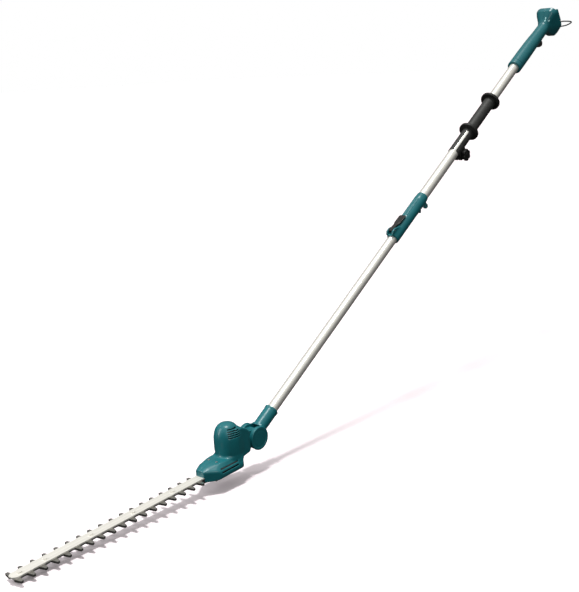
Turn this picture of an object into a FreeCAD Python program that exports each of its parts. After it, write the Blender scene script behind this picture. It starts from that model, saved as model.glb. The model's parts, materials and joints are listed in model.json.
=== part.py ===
import FreeCAD, Part
import math
import os

# Battery hedge trimmer on a telescopic pole, drawn with the pole fully extended.
#
# Row frame: X forward along the blades, Y to the left, Z up, origin at the rear hand grip.
# Head parts are drawn about the head pivot with the same axes.
# Pole parts are drawn about the head pivot too, with X pointing down the pole to the head.
# A station is a distance behind the head pivot, measured along the pole.

PIVOT_TO_GRIP = 1525.0
POLE_TILT = 30.0
CLEARANCE = 0.3
RUNNING_FIT = 0.05

# Tubes
OUTER_TUBE_R = 14.0
OUTER_TUBE_BORE_R = 13.0
OUTER_TUBE_START = 700.0
OUTER_TUBE_END = 1500.0
INNER_TUBE_R = 12.5
INNER_TUBE_BORE_R = 11.3
INNER_TUBE_START = 30.0
INNER_TUBE_END = 860.0
TUBE_PLUG_LENGTH = 22.0
CABLE_BORE_R = 6.0

# Head joint
TONGUE_R = 20.0
TONGUE_HALF = 12.6
FORK_GAP_HALF = 13.0
FORK_CHEEK_R = 26.0
FORK_HALF = 20.0
DISC_R = 27.0
DISC_FACE = 23.5
DISC_BEVEL = 1.5
PIVOT_BOLT_R = 4.0
PIVOT_HEAD_R = 8.0
PIVOT_HEAD_DEPTH = 3.5
LOCK_RING_R = 17.0
LOCK_RING_BORE_R = 9.0
LOCK_RING_DEPTH = 3.0
LOCK_RING_TEETH = 24
SLEEVE_R = 16.0
SLEEVE_START = 24.0
SLEEVE_END = 81.0

# Telescopic clamp
CLAMP_START = 670.0
CLAMP_END = 839.0
CLAMP_R = 16.6
CLAMP_END_R = 15.2
CLAMP_TAPER = 16.0
BUSH_START = 673.0
BUSH_END = 699.0
BUSH_R = 14.4
BAND_START = 677.0
BAND_END = 692.0
BAND_R = 15.6
KNUCKLE_START = 666.0
KNUCKLE_END = 695.0
KNUCKLE_TOP = 25.5
KNUCKLE_HALF = 11.0
LEVER_SLOT_HALF = 6.4
LEVER_SLOT_FLOOR = 16.0
LEVER_HALF = 6.0
LEVER_PIVOT = 681.0
LEVER_PIVOT_HEIGHT = 21.6
LEVER_CAM_R = 5.2
LEVER_PIN_R = 2.2
LEVER_PAD_START = 708.0
LEVER_PAD_END = 743.0
LEVER_PAD_HALF = 10.0
EYE_STATION = 836.0
EYE_DROP = 29.5
EYE_R = 7.0
EYE_BORE_R = 3.5
EYE_HALF = 4.0
LUG_STATION = 804.0
LUG_DROP = 24.0
LUG_R = 3.6
CLAMP_SCREWS = ((730.0, -15.5), (790.0, -15.5))
CASING_SCREW_HEAD_R = 2.5
CASING_SCREW_R = 1.2
CASING_SCREW_SEAT = -9.0
CASING_SCREW_LENGTH = 13.0
CASING_SCREW_HEAD_THICK = 2.0
CASING_SCREW_HOLE_R = 2.6

# Front grip
COLLAR_START = 1026.0
LOWER_FLANGE = 1119.0
UPPER_FLANGE = 1261.0
FLANGE_THICK = 9.0
FLANGE_R = 28.4
FLANGE_RIBS = 28
FLANGE_RIB_DEPTH = 1.2
COLLAR_R = 16.0
GRIP_R = 16.7
SPLIT_ANGLE = 33.0
SPLIT_WIDTH = 8.0
CLAMP_LUG_START = 1036.0
CLAMP_LUG_END = 1068.0
CLAMP_LUG_HALF = 11.2
CLAMP_LUG_BOTTOM = -33.0
CLAMP_LUG_SPLIT = 2.4
KNOB_STATION = 1051.0
KNOB_HEIGHT = -25.0
KNOB_BOLT_R = 3.0
KNOB_R = 17.0
KNOB_LOBES = 6
KNOB_THICK = 10.0
KNOB_HUB_R = 8.0
KNOB_HUB_DEPTH = 3.0
KNOB_EDGE_R = 2.5
KNOB_SCALLOP_R = 5.0
KNOB_SCALLOP_OFFSET = 3.0
KNOB_THREAD = 10.0
GRIP_NUT_R = 5.5
GRIP_NUT_THICK = 4.5

# Rear handle
HANDLE_START = 1431.0
HANDLE_COLLAR_END = 1447.0
HANDLE_NECK = 1644.0
HANDLE_FLARE = 1676.0
HANDLE_REAR = 1692.0
HANDLE_WALL = 2.5
HANDLE_COLLAR_R = 20.6
HANDLE_COLLAR_DROP = 0.5
GRIP_STATIONS = (
    # station, radius, drop of the middle below the pole
    (HANDLE_START, 20.8, 0.5),
    (1500.0, 20.5, 1.2),
    (1550.0, 19.8, 1.6),
    (1600.0, 18.3, 3.0),
    (1656.0, 17.6, 3.8),
)
# Half sections of the flared end: flat top, upper corner, lower corner, flat bottom.
NECK_SECTION = ((8.0, 11.0), (14.0, 5.0), (14.0, -10.0), (9.0, -21.0))
SHOULDER_SECTION = ((20.0, 35.0), (30.0, 23.0), (30.0, -25.0), (13.0, -53.0))
REAR_SECTION = ((22.0, 37.0), (37.0, 24.0), (37.0, -27.0), (13.0, -54.0))
PLATE_SECTION = ((18.0, 32.0), (32.0, 20.0), (32.0, -22.0), (9.0, -48.0))
REAR_PLATE_THICK = 5.0
RAIL_HEIGHT = 8.0
RAIL_OFFSET = 28.0
RAIL_WIDTH = 4.0
RAIL_LIP = 2.5
RAIL_LIP_THICK = 2.4
RAIL_TOP = 25.0
RAIL_BOTTOM = -14.5
TERMINAL_BLOCK_HALF = 13.9
TERMINAL_BLOCK_BOTTOM = -7.9
TERMINAL_BLOCK_TOP = 11.9
TERMINAL_BLOCK_DEPTH = 10.0
TERMINAL_HALF = 0.4
BOARD_START = 1662.0
BOARD_END = 1680.0
BOARD_HALF = 17.0
BOARD_HEIGHT = 10.0
BOARD_THICK = 1.6
SWITCH_START = 1568.0
SWITCH_END = 1608.0
SWITCH_HALF = 8.0
SWITCH_BOTTOM = -4.0
PLUNGER_STATION = 1598.0
PLUNGER_HALF = 2.5
TERMINALS = (-9.0, 0.0, 9.0)
CASING_SCREWS = ((1512.0, -2.0), (1548.0, 9.0), (1622.0, 4.0))
TRIGGER_PIVOT = 1560.0
TRIGGER_PIVOT_HEIGHT = -15.0
TRIGGER_PIN_R = 1.8
TRIGGER_HALF = 6.0
TRIGGER_END = 1608.0
TRIGGER_BOTTOM = -37.5
TRIGGER_PIN_HALF = 10.0
SPRING_STATION = 1582.0
SPRING_R = 2.6
SPRING_WIRE_R = 0.4
SPRING_PITCH = 1.9
SPRING_BOTTOM = -18.0
SPRING_HEIGHT = 13.0
LIGHT_R = 2.0
LIGHT_SPOTS = ((9.0, 21.5), (8.5, 17.0), (18.5, 12.5))

# Wire loop
LOOP_WIRE_R = 1.9
LOOP_SOCKET_R = 3.4
LOOP_SOCKET_DEPTH = 2.5
LOOP_SEAT_SIDE = 27.0
LOOP_SEAT_HEIGHT = -27.0
LOOP_SPREAD = 8.5
LOOP_LEAN = 4.0
LOOP_BACK = 25.0
LOOP_OUT = 26.0
LOOP_DOWN = 9.0
LOOP_FOOT = 3.0

# Head casing
WALL = 2.5
DOME_X = 79.0
DOME_R = 31.0
DOME_TOP = 63.0
DOME_CROWN_R = 48.0
DOME_CORNER_R = 20.0
DOME_FOOT = -12.0
FLARE_R = 40.0
FLARE_TOP = 7.0
BASE_TOP = -8.0
BASE_BOTTOM = -43.0
BASE_HALF = 36.0
BASE_REAR = 61.0
NOSE_X = 172.0
COVER_REAR = 76.0
COVER_FRONT = 150.0
COVER_HALF = 27.0
COVER_THICK = 2.2
COVER_RIBS = (95.0, 113.0, 131.0)
SIDE_SLOTS = (-20.0, -27.5)
SIDE_SLOT_REAR = 84.0
SIDE_SLOT_FRONT = 136.0
SIDE_SLOT_HEIGHT = 3.2
VENT_LEVELS = (34.0, 38.5, 43.0, 47.5, 52.0)
VENT_HEIGHT = 2.2
VENT_WIDTH = 34.0
VENT_AZIMUTH = 82.0
MOTOR_RIBS = (2.0, 30.0)
RIB_THICK = 2.5
HEAD_SCREWS = ((50.0, 36.0), (48.0, -14.0))
GUARD_HALF = 12.4
GUARD_FRONT = NOSE_X - 0.5
HEAD_SCREW_R = 1.4
HEAD_SCREW_HEAD_R = 2.5
HEAD_SCREW_SEAT = -17.0
HEAD_SCREW_TIP = -6.0
HEAD_SCREW_HEAD_THICK = 2.0
NOSE_SCREW_X = 130.0
NOSE_SCREW_Y = 12.0
NOSE_SCREW_R = 1.5
NOSE_SCREW_HEAD_R = 2.8
NOSE_SCREW_SEAT = -9.2
NOSE_SCREW_HEAD_THICK = 1.0
NOSE_SCREW_TIP = -15.0

# Motor
MOTOR_R = 18.0
MOTOR_BORE_R = 16.6
MOTOR_BOTTOM = -3.0
MOTOR_TOP = 48.0
END_CAP_TOP = 52.0
MAGNET_BORE_R = 12.2
SHAFT_R = 1.6
SHAFT_BOTTOM = -26.0
SHAFT_BUSH_R = 4.0
CORE_R = 11.6
MAGNET_BOTTOM = 4.0
MAGNET_TOP = 38.0
MAGNET_GAP = 8.0
CORE_BOTTOM = 6.0
CORE_TOP = 36.0
CORE_SLOTS = 5
COMMUTATOR_R = 6.0
COMMUTATOR_TOP = 46.0
MOTOR_FLOOR = 1.4
BUSH_LENGTH = 3.5
FAN_R = 16.0
FAN_HUB_R = 4.0
FAN_BOTTOM = -10.5
FAN_DISC = 1.0
FAN_TOP = -5.0
FAN_BLADES = 9

# Gears
MODULE = 0.8
PINION_TEETH = 12
GEAR_TEETH = 60
GEAR_BOTTOM = -25.5
GEAR_TOP = -19.5
PINION_TOP = -16.5
BACKLASH = 0.12
CRANK_X = DOME_X + MODULE * (PINION_TEETH + GEAR_TEETH) / 2
CRANK_THROW = 7.0
ECCENTRIC_R = 8.0
ECCENTRIC_THICK = 3.0
CRANKSHAFT_R = 4.0
BEARING_R = 9.5
BEARING_TOP = -13.5

# Gear case
CASE_REAR = 70.0
CASE_FRONT = 160.0
CASE_HALF = 27.4
CASE_NOSE_HALF = 10.0
CASE_NOSE_REAR = 136.0
CASE_TOP = -12.0
CASE_FLOOR = -30.0

# Blades
BAR_START = 126.0
BAR_END = 653.0
BAR_HALF = 12.0
BAR_THICK = 3.0
BLADE_THICK = 2.2
BLADE_HALF = 8.5
BLADE_ROOT_START = 90.0
BLADE_ROOT_END = 126.0
BLADE_ROOT_HALF = 19.0
BLADE_END = 648.0
TOOTH_COUNT = 18
TOOTH_PITCH = 27.0
TOOTH_FIRST = 185.4
TOOTH_REACH = 26.0
TOOTH_BASE_HALF = 6.5
TOOTH_TIP_HALF = 2.6
STROKE = 7.0
BOLT_R = 2.5
BOLT_HEAD_R = 4.6
BOLT_HEAD_THICK = 2.4
BAR_BOLTS = (253.0, 361.0, 469.0, 577.0, 633.0)
ROOT_BOLTS = (136.0, 152.0)
NUT_R = 4.6
NUT_THICK = 3.0

UPPER_BLADE_TOP = CASE_FLOOR - BAR_THICK - CLEARANCE
LOWER_BLADE_TOP = UPPER_BLADE_TOP - BLADE_THICK - CLEARANCE
NUT_TOP = LOWER_BLADE_TOP - BLADE_THICK - CLEARANCE

POINT = FreeCAD.Vector
AXIS_X = POINT(1, 0, 0)
AXIS_Y = POINT(0, 1, 0)
AXIS_Z = POINT(0, 0, 1)
ORIGIN = POINT(0, 0, 0)


# ---------------------------------------------------------------- helpers

def box(x0, x1, y0, y1, z0, z1):
    return Part.makeBox(x1 - x0, y1 - y0, z1 - z0, POINT(x0, y0, z0))


def upright(radius, x, y, z0, z1):
    return Part.makeCylinder(radius, z1 - z0, POINT(x, y, z0), AXIS_Z)


def across(radius, x, z, y0, y1):
    return Part.makeCylinder(radius, y1 - y0, POINT(x, y0, z), AXIS_Y)


def along(radius, start, end, y=0.0, z=0.0):
    return Part.makeCylinder(radius, end - start, POINT(-end, y, z), AXIS_X)


def pole_tube(outer, bore, start, end):
    return along(outer, start, end).cut(along(bore, start - 1, end + 1))


def pole_box(start, end, y0, y1, z0, z1):
    return box(-end, -start, y0, y1, z0, z1)


def face_of(points):
    wire = Part.makePolygon(points + [points[0]])
    return Part.Face(wire)


def inset_face(points, inset):
    face = face_of(points)
    if inset == 0:
        return face
    return face.makeOffset2D(-inset, 2)


def side_prism(outline, half, inset=0.0):
    """Outline given as (x, z), extended to both sides of the middle plane."""
    points = [POINT(x, -half + inset, z) for x, z in outline]
    return inset_face(points, inset).extrude(POINT(0, 2 * (half - inset), 0))


def plan_prism(outline, z0, z1, inset=0.0):
    """Outline given as (x, y), extended upward."""
    points = [POINT(x, y, z0 + inset) for x, y in outline]
    return inset_face(points, inset).extrude(POINT(0, 0, z1 - z0 - 2 * inset))


def front_prism(outline, x0, x1, inset=0.0):
    """Outline given as (y, z), extended forward."""
    points = [POINT(x0 + inset, y, z) for y, z in outline]
    return inset_face(points, inset).extrude(POINT(x1 - x0 - 2 * inset, 0, 0))


def mirrored(outline):
    """Half outline on the positive second axis, completed on the other side."""
    return outline + [(x, -y) for x, y in reversed(outline)]


def fuse(first, *rest):
    return first.multiFuse(list(rest)).removeSplitter()


def polygon_rod(sides, radius, x, y, z0, z1):
    corners = []
    for corner in range(sides):
        angle = 2 * math.pi * corner / sides
        corners.append(POINT(x + radius * math.cos(angle), y + radius * math.sin(angle), z0))
    return face_of(corners).extrude(POINT(0, 0, z1 - z0))


def left_half(shape):
    return shape.common(box(-2000, 1000, 0, 500, -500, 500))


def right_half(shape):
    return shape.common(box(-2000, 1000, -500, 0, -500, 500))


# ---------------------------------------------------------------- rear handle

def round_wire(station, radius, drop):
    """Circle across the pole with its middle a little below the pole axis."""
    return Part.Wire([Part.makeCircle(radius, POINT(-station, 0, -drop), AXIS_X)])


def grip_body(inset):
    """Hand grip: slimmer towards the rear, where its middle drops below the pole."""
    wires = [round_wire(station, radius - inset, drop) for station, radius, drop in GRIP_STATIONS]
    return Part.makeLoft(wires, True)


def section_points(station, half_section):
    """Eight-sided section across the pole from its half section of (y, z) corners."""
    outline = list(half_section) + [(-y, z) for y, z in reversed(half_section)]
    return [POINT(-station, y, z) for y, z in outline]


def section_wire(station, half_section, inset):
    return inset_face(section_points(station, half_section), inset).OuterWire


def mount_head(inset):
    """Flared end of the handle that carries the battery mount."""
    neck = section_wire(HANDLE_NECK, NECK_SECTION, inset)
    shoulder = section_wire(HANDLE_FLARE, SHOULDER_SECTION, inset)
    rear = section_wire(HANDLE_REAR, REAR_SECTION, inset)
    cone = Part.makeLoft([neck, shoulder], True, True)
    drum = Part.makeLoft([shoulder, rear], True, True)
    return cone.fuse(drum)


def rear_plate_blank(front):
    """Plate that closes the rear of the handle, reaching forward to the given station."""
    plate = inset_face(section_points(HANDLE_REAR, PLATE_SECTION), 0)
    return plate.extrude(POINT(HANDLE_REAR - front, 0, 0))


def handle_casing():
    outer = fuse(grip_body(0.0), mount_head(0.0))
    hollow = fuse(
        grip_body(HANDLE_WALL).common(pole_box(OUTER_TUBE_END, HANDLE_NECK + 15, -40, 40, -60, 60)),
        mount_head(HANDLE_WALL))
    casing = outer.cut(hollow)
    casing = casing.cut(rear_plate_blank(HANDLE_REAR - REAR_PLATE_THICK))
    casing = casing.cut(along(OUTER_TUBE_R, HANDLE_START - 1, OUTER_TUBE_END + 1))
    casing = casing.cut(pole_box(HANDLE_START - 1, HANDLE_COLLAR_END, -40, 40, -60, 60))
    window_half = TRIGGER_HALF + CLEARANCE
    window = pole_box(TRIGGER_PIVOT - 6, TRIGGER_END + 3, -window_half, window_half, -40, -10)
    casing = casing.cut(window)
    casing = casing.cut(trigger_pin())
    for station, height in CASING_SCREWS:
        casing = casing.cut(across(CASING_SCREW_HOLE_R, -station, height, -40, 0))
    for y, z in LIGHT_SPOTS:
        casing = casing.cut(along(LIGHT_R, HANDLE_NECK, HANDLE_FLARE + 10, y, z))
    return casing


def handle_shell_left():
    return left_half(handle_casing())


def handle_shell_right():
    return right_half(handle_casing())


def handle_collar():
    ring = along(HANDLE_COLLAR_R, HANDLE_START, HANDLE_COLLAR_END, 0, -HANDLE_COLLAR_DROP)
    ring = ring.makeChamfer(1.2, [ring.Edges[0], ring.Edges[2]])
    return ring.cut(along(OUTER_TUBE_R, HANDLE_START - 1, HANDLE_COLLAR_END + 1))


def casing_screws():
    """The identical screws that close the handle and the clamp housing."""
    screws = []
    for station, height in CASING_SCREWS + CLAMP_SCREWS:
        seat = CASING_SCREW_SEAT
        head = across(CASING_SCREW_HEAD_R, -station, height, seat - CASING_SCREW_HEAD_THICK, seat)
        shank = across(CASING_SCREW_R, -station, height, seat, seat + CASING_SCREW_LENGTH)
        screws.append(head.fuse(shank))
    return Part.Compound(screws)


def light_lenses():
    lenses = []
    for y, z in LIGHT_SPOTS:
        reach = along(LIGHT_R - 0.05, HANDLE_NECK, HANDLE_FLARE + 10, y, z)
        lenses.append(reach.common(mount_head(0.0)).cut(mount_head(HANDLE_WALL)))
    return Part.Compound(lenses)


def rear_plate():
    """Plate with two undercut rails that the battery slides down behind."""
    parts = [rear_plate_blank(HANDLE_REAR - REAR_PLATE_THICK)]
    rear = HANDLE_REAR + RAIL_HEIGHT
    inner = RAIL_OFFSET - RAIL_WIDTH / 2
    web_edge = RAIL_OFFSET + RAIL_WIDTH / 2
    outer = web_edge + RAIL_LIP
    for side in (-1, 1):
        web = sorted((side * inner, side * web_edge))
        lip = sorted((side * inner, side * outer))
        parts.append(pole_box(HANDLE_REAR, rear, web[0], web[1], RAIL_BOTTOM, RAIL_TOP))
        parts.append(pole_box(rear - RAIL_LIP_THICK, rear, lip[0], lip[1], RAIL_BOTTOM, RAIL_TOP))
    return fuse(*parts).cut(terminal_pocket())


def terminal_pocket():
    half = TERMINAL_BLOCK_HALF + 0.1
    return pole_box(HANDLE_REAR - REAR_PLATE_THICK - 1, HANDLE_REAR + 1, -half, half,
                    TERMINAL_BLOCK_BOTTOM - 0.1, TERMINAL_BLOCK_TOP + 0.1)


def terminal_block():
    base = pole_box(HANDLE_REAR - TERMINAL_BLOCK_DEPTH, HANDLE_REAR + 0.5,
                    -TERMINAL_BLOCK_HALF, TERMINAL_BLOCK_HALF, TERMINAL_BLOCK_BOTTOM, TERMINAL_BLOCK_TOP)
    blades = []
    for y in TERMINALS:
        blades.append(pole_box(HANDLE_REAR - 6, HANDLE_REAR + 5.5, y - TERMINAL_HALF, y + TERMINAL_HALF, -5, 9))
    return fuse(base, *blades)


def control_board():
    return pole_box(BOARD_START, BOARD_END, -BOARD_HALF, BOARD_HALF, BOARD_HEIGHT, BOARD_HEIGHT + BOARD_THICK)


def switch_body():
    body = pole_box(SWITCH_START, SWITCH_END, -SWITCH_HALF, SWITCH_HALF, SWITCH_BOTTOM, SWITCH_BOTTOM + 12)
    plunger = pole_box(PLUNGER_STATION - PLUNGER_HALF, PLUNGER_STATION + PLUNGER_HALF,
                       -PLUNGER_HALF, PLUNGER_HALF, SWITCH_BOTTOM - 1, SWITCH_BOTTOM)
    return body.fuse(plunger)


def trigger():
    front = -TRIGGER_PIVOT
    rear = -TRIGGER_END
    outline = [
        (front + 5, TRIGGER_PIVOT_HEIGHT + 2.5),
        (front + 5, TRIGGER_PIVOT_HEIGHT - 3),
        (front - 10, -24.0),
        (front - 26, TRIGGER_BOTTOM + 4),
        (rear + 10, TRIGGER_BOTTOM),
        (rear + 3, TRIGGER_BOTTOM + 2),
        (rear, TRIGGER_BOTTOM + 9),
        (rear + 3, -20.0),
        (front - 12, -18.5),
        (front - 4, TRIGGER_PIVOT_HEIGHT + 2.5),
    ]
    body = side_prism(outline, TRIGGER_HALF)
    return body.cut(across(TRIGGER_PIN_R + RUNNING_FIT, -TRIGGER_PIVOT, TRIGGER_PIVOT_HEIGHT, -20, 20))


def trigger_pin():
    return across(TRIGGER_PIN_R, -TRIGGER_PIVOT, TRIGGER_PIVOT_HEIGHT, -TRIGGER_PIN_HALF, TRIGGER_PIN_HALF)


def coil_spring(radius, wire, pitch, height):
    helix = Part.makeHelix(pitch, height, radius)
    section = Part.Wire([Part.makeCircle(wire, POINT(radius, 0, 0), AXIS_Y)])
    return Part.Wire(helix.Edges).makePipeShell([section], True, True)


def trigger_spring():
    spring = coil_spring(SPRING_R, SPRING_WIRE_R, SPRING_PITCH, SPRING_HEIGHT)
    spring.translate(POINT(-SPRING_STATION, 0, SPRING_BOTTOM))
    return spring


def loop_seat():
    return POINT(-HANDLE_REAR, LOOP_SEAT_SIDE, LOOP_SEAT_HEIGHT)


def wire_loop():
    """Stiff bow of wire whose two ends stand in the rear face."""
    seat = loop_seat()
    reach = POINT(-LOOP_BACK, LOOP_OUT, -LOOP_DOWN)
    spread = POINT(0, LOOP_LEAN, LOOP_SPREAD)
    foot = POINT(-LOOP_FOOT, 0, 0)
    points = [
        seat + spread,
        seat + spread + foot,
        seat + foot + reach * 0.55 + spread * 0.85,
        seat + foot + reach,
        seat + foot + reach * 0.55 - spread * 0.85,
        seat - spread + foot,
        seat - spread,
    ]
    curve = Part.BSplineCurve()
    curve.interpolate(points)
    path = Part.Wire([curve.toShape()])
    start = path.Edges[0].valueAt(path.Edges[0].FirstParameter)
    heading = path.Edges[0].tangentAt(path.Edges[0].FirstParameter)
    ring = Part.Wire([Part.makeCircle(LOOP_WIRE_R, start, heading)])
    return path.makePipeShell([ring], True, True)


def loop_sockets():
    seat = loop_seat()
    sockets = []
    for side in (-1, 1):
        y = seat.y + side * LOOP_LEAN
        z = seat.z + side * LOOP_SPREAD
        boss = along(LOOP_SOCKET_R, HANDLE_REAR, HANDLE_REAR + LOOP_SOCKET_DEPTH, y, z)
        sockets.append(boss.cut(wire_loop()))
    return Part.Compound(sockets)


# ---------------------------------------------------------------- tubes and telescopic clamp

def outer_tube():
    return pole_tube(OUTER_TUBE_R, OUTER_TUBE_BORE_R, OUTER_TUBE_START, OUTER_TUBE_END)


def inner_tube():
    return pole_tube(INNER_TUBE_R, INNER_TUBE_BORE_R, INNER_TUBE_START, INNER_TUBE_END)


def tube_plug():
    radius = OUTER_TUBE_BORE_R - RUNNING_FIT
    cap = along(radius, INNER_TUBE_END, INNER_TUBE_END + TUBE_PLUG_LENGTH)
    spigot = along(INNER_TUBE_BORE_R, INNER_TUBE_END - 12, INNER_TUBE_END)
    bore = along(CABLE_BORE_R, INNER_TUBE_END - 13, INNER_TUBE_END + TUBE_PLUG_LENGTH + 1)
    return fuse(cap, spigot).cut(bore)


def clamp_profile():
    """Half outline of the clamp housing, turned about the pole."""
    ends = [CLAMP_START, CLAMP_START + CLAMP_TAPER, CLAMP_END - CLAMP_TAPER, CLAMP_END]
    radii = [CLAMP_END_R + 1, CLAMP_R, CLAMP_R, CLAMP_END_R]
    points = [POINT(-s, 0, r) for s, r in zip(ends, radii)]
    points = [POINT(-ends[0], 0, 0)] + points + [POINT(-ends[-1], 0, 0)]
    return face_of(points)


def clamp_casing():
    body = clamp_profile().revolve(ORIGIN, AXIS_X, 360)
    knuckle_outline = [
        (-CLAMP_START, 8.0),
        (-KNUCKLE_START, 17.0),
        (-KNUCKLE_START, KNUCKLE_TOP - 5),
        (-KNUCKLE_START - 5, KNUCKLE_TOP),
        (-KNUCKLE_END + 9, KNUCKLE_TOP),
        (-KNUCKLE_END - 8, CLAMP_R - 1),
        (-KNUCKLE_END - 8, 8.0),
    ]
    knuckle = side_prism(knuckle_outline, KNUCKLE_HALF)
    eye_neck = pole_box(EYE_STATION - 6, EYE_STATION + 5, -EYE_HALF, EYE_HALF, -EYE_DROP + 5, -12)
    lug_neck = pole_box(LUG_STATION - 3, LUG_STATION + 5, -3, 3, -LUG_DROP, -12)
    lug = across(LUG_R, -LUG_STATION, -LUG_DROP, -3, 3)
    body = fuse(body, knuckle, eye_neck, lug_neck, lug)
    body = body.cut(along(OUTER_TUBE_R, OUTER_TUBE_START, EYE_STATION + EYE_R))
    body = body.cut(along(BUSH_R, BUSH_START, OUTER_TUBE_START))
    body = body.cut(along(INNER_TUBE_R + CLEARANCE, KNUCKLE_START - 1, BUSH_START))
    body = body.cut(along(BAND_R, BAND_START, BAND_END))
    slot = pole_box(KNUCKLE_START - 1, KNUCKLE_END + 16, -LEVER_SLOT_HALF, LEVER_SLOT_HALF,
                    LEVER_SLOT_FLOOR, KNUCKLE_TOP + 1)
    body = body.cut(slot.cut(along(CLAMP_R, KNUCKLE_END - 4, KNUCKLE_END + 20)))
    body = body.cut(across(LEVER_PIN_R, -LEVER_PIVOT, LEVER_PIVOT_HEIGHT, -20, 20))
    body = body.cut(across(EYE_R, -EYE_STATION, -EYE_DROP, -20, 20))
    for station, height in CLAMP_SCREWS:
        body = body.cut(across(CASING_SCREW_HOLE_R, -station, height, -20, CASING_SCREW_SEAT))
        body = body.cut(across(CASING_SCREW_R, -station, height, CASING_SCREW_SEAT - 1,
                               CASING_SCREW_SEAT + CASING_SCREW_LENGTH))
    return body


def clamp_shell_left():
    return left_half(clamp_casing())


def clamp_shell_right():
    return right_half(clamp_casing())


def slide_bush():
    ring = pole_tube(BUSH_R, INNER_TUBE_R + RUNNING_FIT, BUSH_START, BUSH_END)
    return ring.cut(pole_box(BUSH_START - 1, BUSH_END + 1, -1, 1, -20, 0))


def clamp_band():
    ring = pole_tube(BAND_R, BUSH_R, BAND_START, BAND_END)
    return ring.cut(pole_box(BAND_START - 1, BAND_END + 1, -2, 2, 0, 20))


def lever_pin():
    return across(LEVER_PIN_R, -LEVER_PIVOT, LEVER_PIVOT_HEIGHT, -KNUCKLE_HALF + 0.5, KNUCKLE_HALF - 0.5)


def cam_lever():
    cam = across(LEVER_CAM_R, -LEVER_PIVOT, LEVER_PIVOT_HEIGHT, -LEVER_HALF, LEVER_HALF)
    arm_outline = [
        (-LEVER_PIVOT + 2, LEVER_PIVOT_HEIGHT + LEVER_CAM_R),
        (-LEVER_PIVOT - 20, CLAMP_R + 7.0),
        (-LEVER_PIVOT - 36, CLAMP_R + 4.2),
        (-LEVER_PIVOT - 36, CLAMP_R + 1.0),
        (-LEVER_PIVOT - 22, CLAMP_R + 1.6),
        (-LEVER_PIVOT - 4, LEVER_PIVOT_HEIGHT - 2.5),
    ]
    arm = side_prism(arm_outline, LEVER_HALF)
    pad_outline = [
        (-LEVER_PAD_START + 6, CLAMP_R + 5.2),
        (-LEVER_PAD_END + 3, CLAMP_R + 3.8),
        (-LEVER_PAD_END, CLAMP_R + 2.4),
        (-LEVER_PAD_END + 1, CLAMP_R + 0.8),
        (-LEVER_PAD_START + 6, CLAMP_R + 0.8),
    ]
    pad = side_prism(pad_outline, LEVER_PAD_HALF)
    waist = plan_prism(mirrored([
        (-LEVER_PAD_START + 6, LEVER_HALF),
        (-LEVER_PAD_START - 4, LEVER_PAD_HALF),
        (-LEVER_PAD_END + 3, LEVER_PAD_HALF),
        (-LEVER_PAD_END, LEVER_PAD_HALF - 3),
    ]), 0, 60)
    lever = fuse(cam, arm, pad.common(waist))
    return lever.cut(across(LEVER_PIN_R + RUNNING_FIT, -LEVER_PIVOT, LEVER_PIVOT_HEIGHT, -20, 20))


def strap_eye():
    ring = across(EYE_R, -EYE_STATION, -EYE_DROP, -EYE_HALF, EYE_HALF)
    ring = ring.makeChamfer(0.8, ring.Edges[0:1] + ring.Edges[2:3])
    return ring.cut(across(EYE_BORE_R, -EYE_STATION, -EYE_DROP, -EYE_HALF - 1, EYE_HALF + 1))


# ---------------------------------------------------------------- front grip

def flange_at(station):
    disc = along(FLANGE_R, station, station + FLANGE_THICK)
    disc = disc.makeFillet(3.0, [disc.Edges[0], disc.Edges[2]])
    return disc


def grip_bore():
    return along(OUTER_TUBE_R + RUNNING_FIT, COLLAR_START - 1, UPPER_FLANGE + FLANGE_THICK + 1)


def lower_flange():
    return flange_at(LOWER_FLANGE).cut(grip_bore())


def upper_flange():
    disc = flange_at(UPPER_FLANGE)
    for rib in range(FLANGE_RIBS):
        groove = pole_box(UPPER_FLANGE - 1, UPPER_FLANGE + FLANGE_RIB_DEPTH, -0.8, 0.8, 19, FLANGE_R - 2)
        groove.rotate(ORIGIN, AXIS_X, 360.0 * rib / FLANGE_RIBS)
        disc = disc.cut(groove)
    return disc.cut(grip_bore())


def grip_sleeve():
    return pole_tube(GRIP_R, OUTER_TUBE_R + RUNNING_FIT, LOWER_FLANGE + FLANGE_THICK, UPPER_FLANGE)


def grip_collar():
    collar = along(COLLAR_R, COLLAR_START, LOWER_FLANGE)
    lugs = pole_box(CLAMP_LUG_START, CLAMP_LUG_END, -CLAMP_LUG_HALF, CLAMP_LUG_HALF,
                    CLAMP_LUG_BOTTOM, -8)
    collar = fuse(collar, lugs)
    half_split = CLAMP_LUG_SPLIT / 2
    collar = collar.cut(pole_box(COLLAR_START - 1, CLAMP_LUG_END + 10, -half_split, half_split, -40, 0))
    slot = pole_box(COLLAR_START - 1, LOWER_FLANGE - 8, -SPLIT_WIDTH / 2, SPLIT_WIDTH / 2, 0, 25)
    slot.rotate(ORIGIN, AXIS_X, -SPLIT_ANGLE)
    collar = collar.cut(slot)
    collar = collar.cut(across(KNOB_BOLT_R + RUNNING_FIT, -KNOB_STATION, KNOB_HEIGHT, -20, 20))
    nut_pocket = nut_across(-CLAMP_LUG_HALF - 1, -CLAMP_LUG_HALF + GRIP_NUT_THICK - 0.5)
    return collar.cut(nut_pocket).cut(grip_bore())


def nut_across(y0, y1):
    nut = polygon_rod(6, GRIP_NUT_R, 0, 0, 0, y1 - y0)
    nut.rotate(ORIGIN, AXIS_X, -90)
    nut.translate(POINT(-KNOB_STATION, y0, KNOB_HEIGHT))
    return nut


def grip_nut():
    bore = across(KNOB_BOLT_R + RUNNING_FIT, -KNOB_STATION, KNOB_HEIGHT, -20, 20)
    return nut_across(-CLAMP_LUG_HALF - 0.5, -CLAMP_LUG_HALF - 0.5 + GRIP_NUT_THICK).cut(bore)


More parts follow.
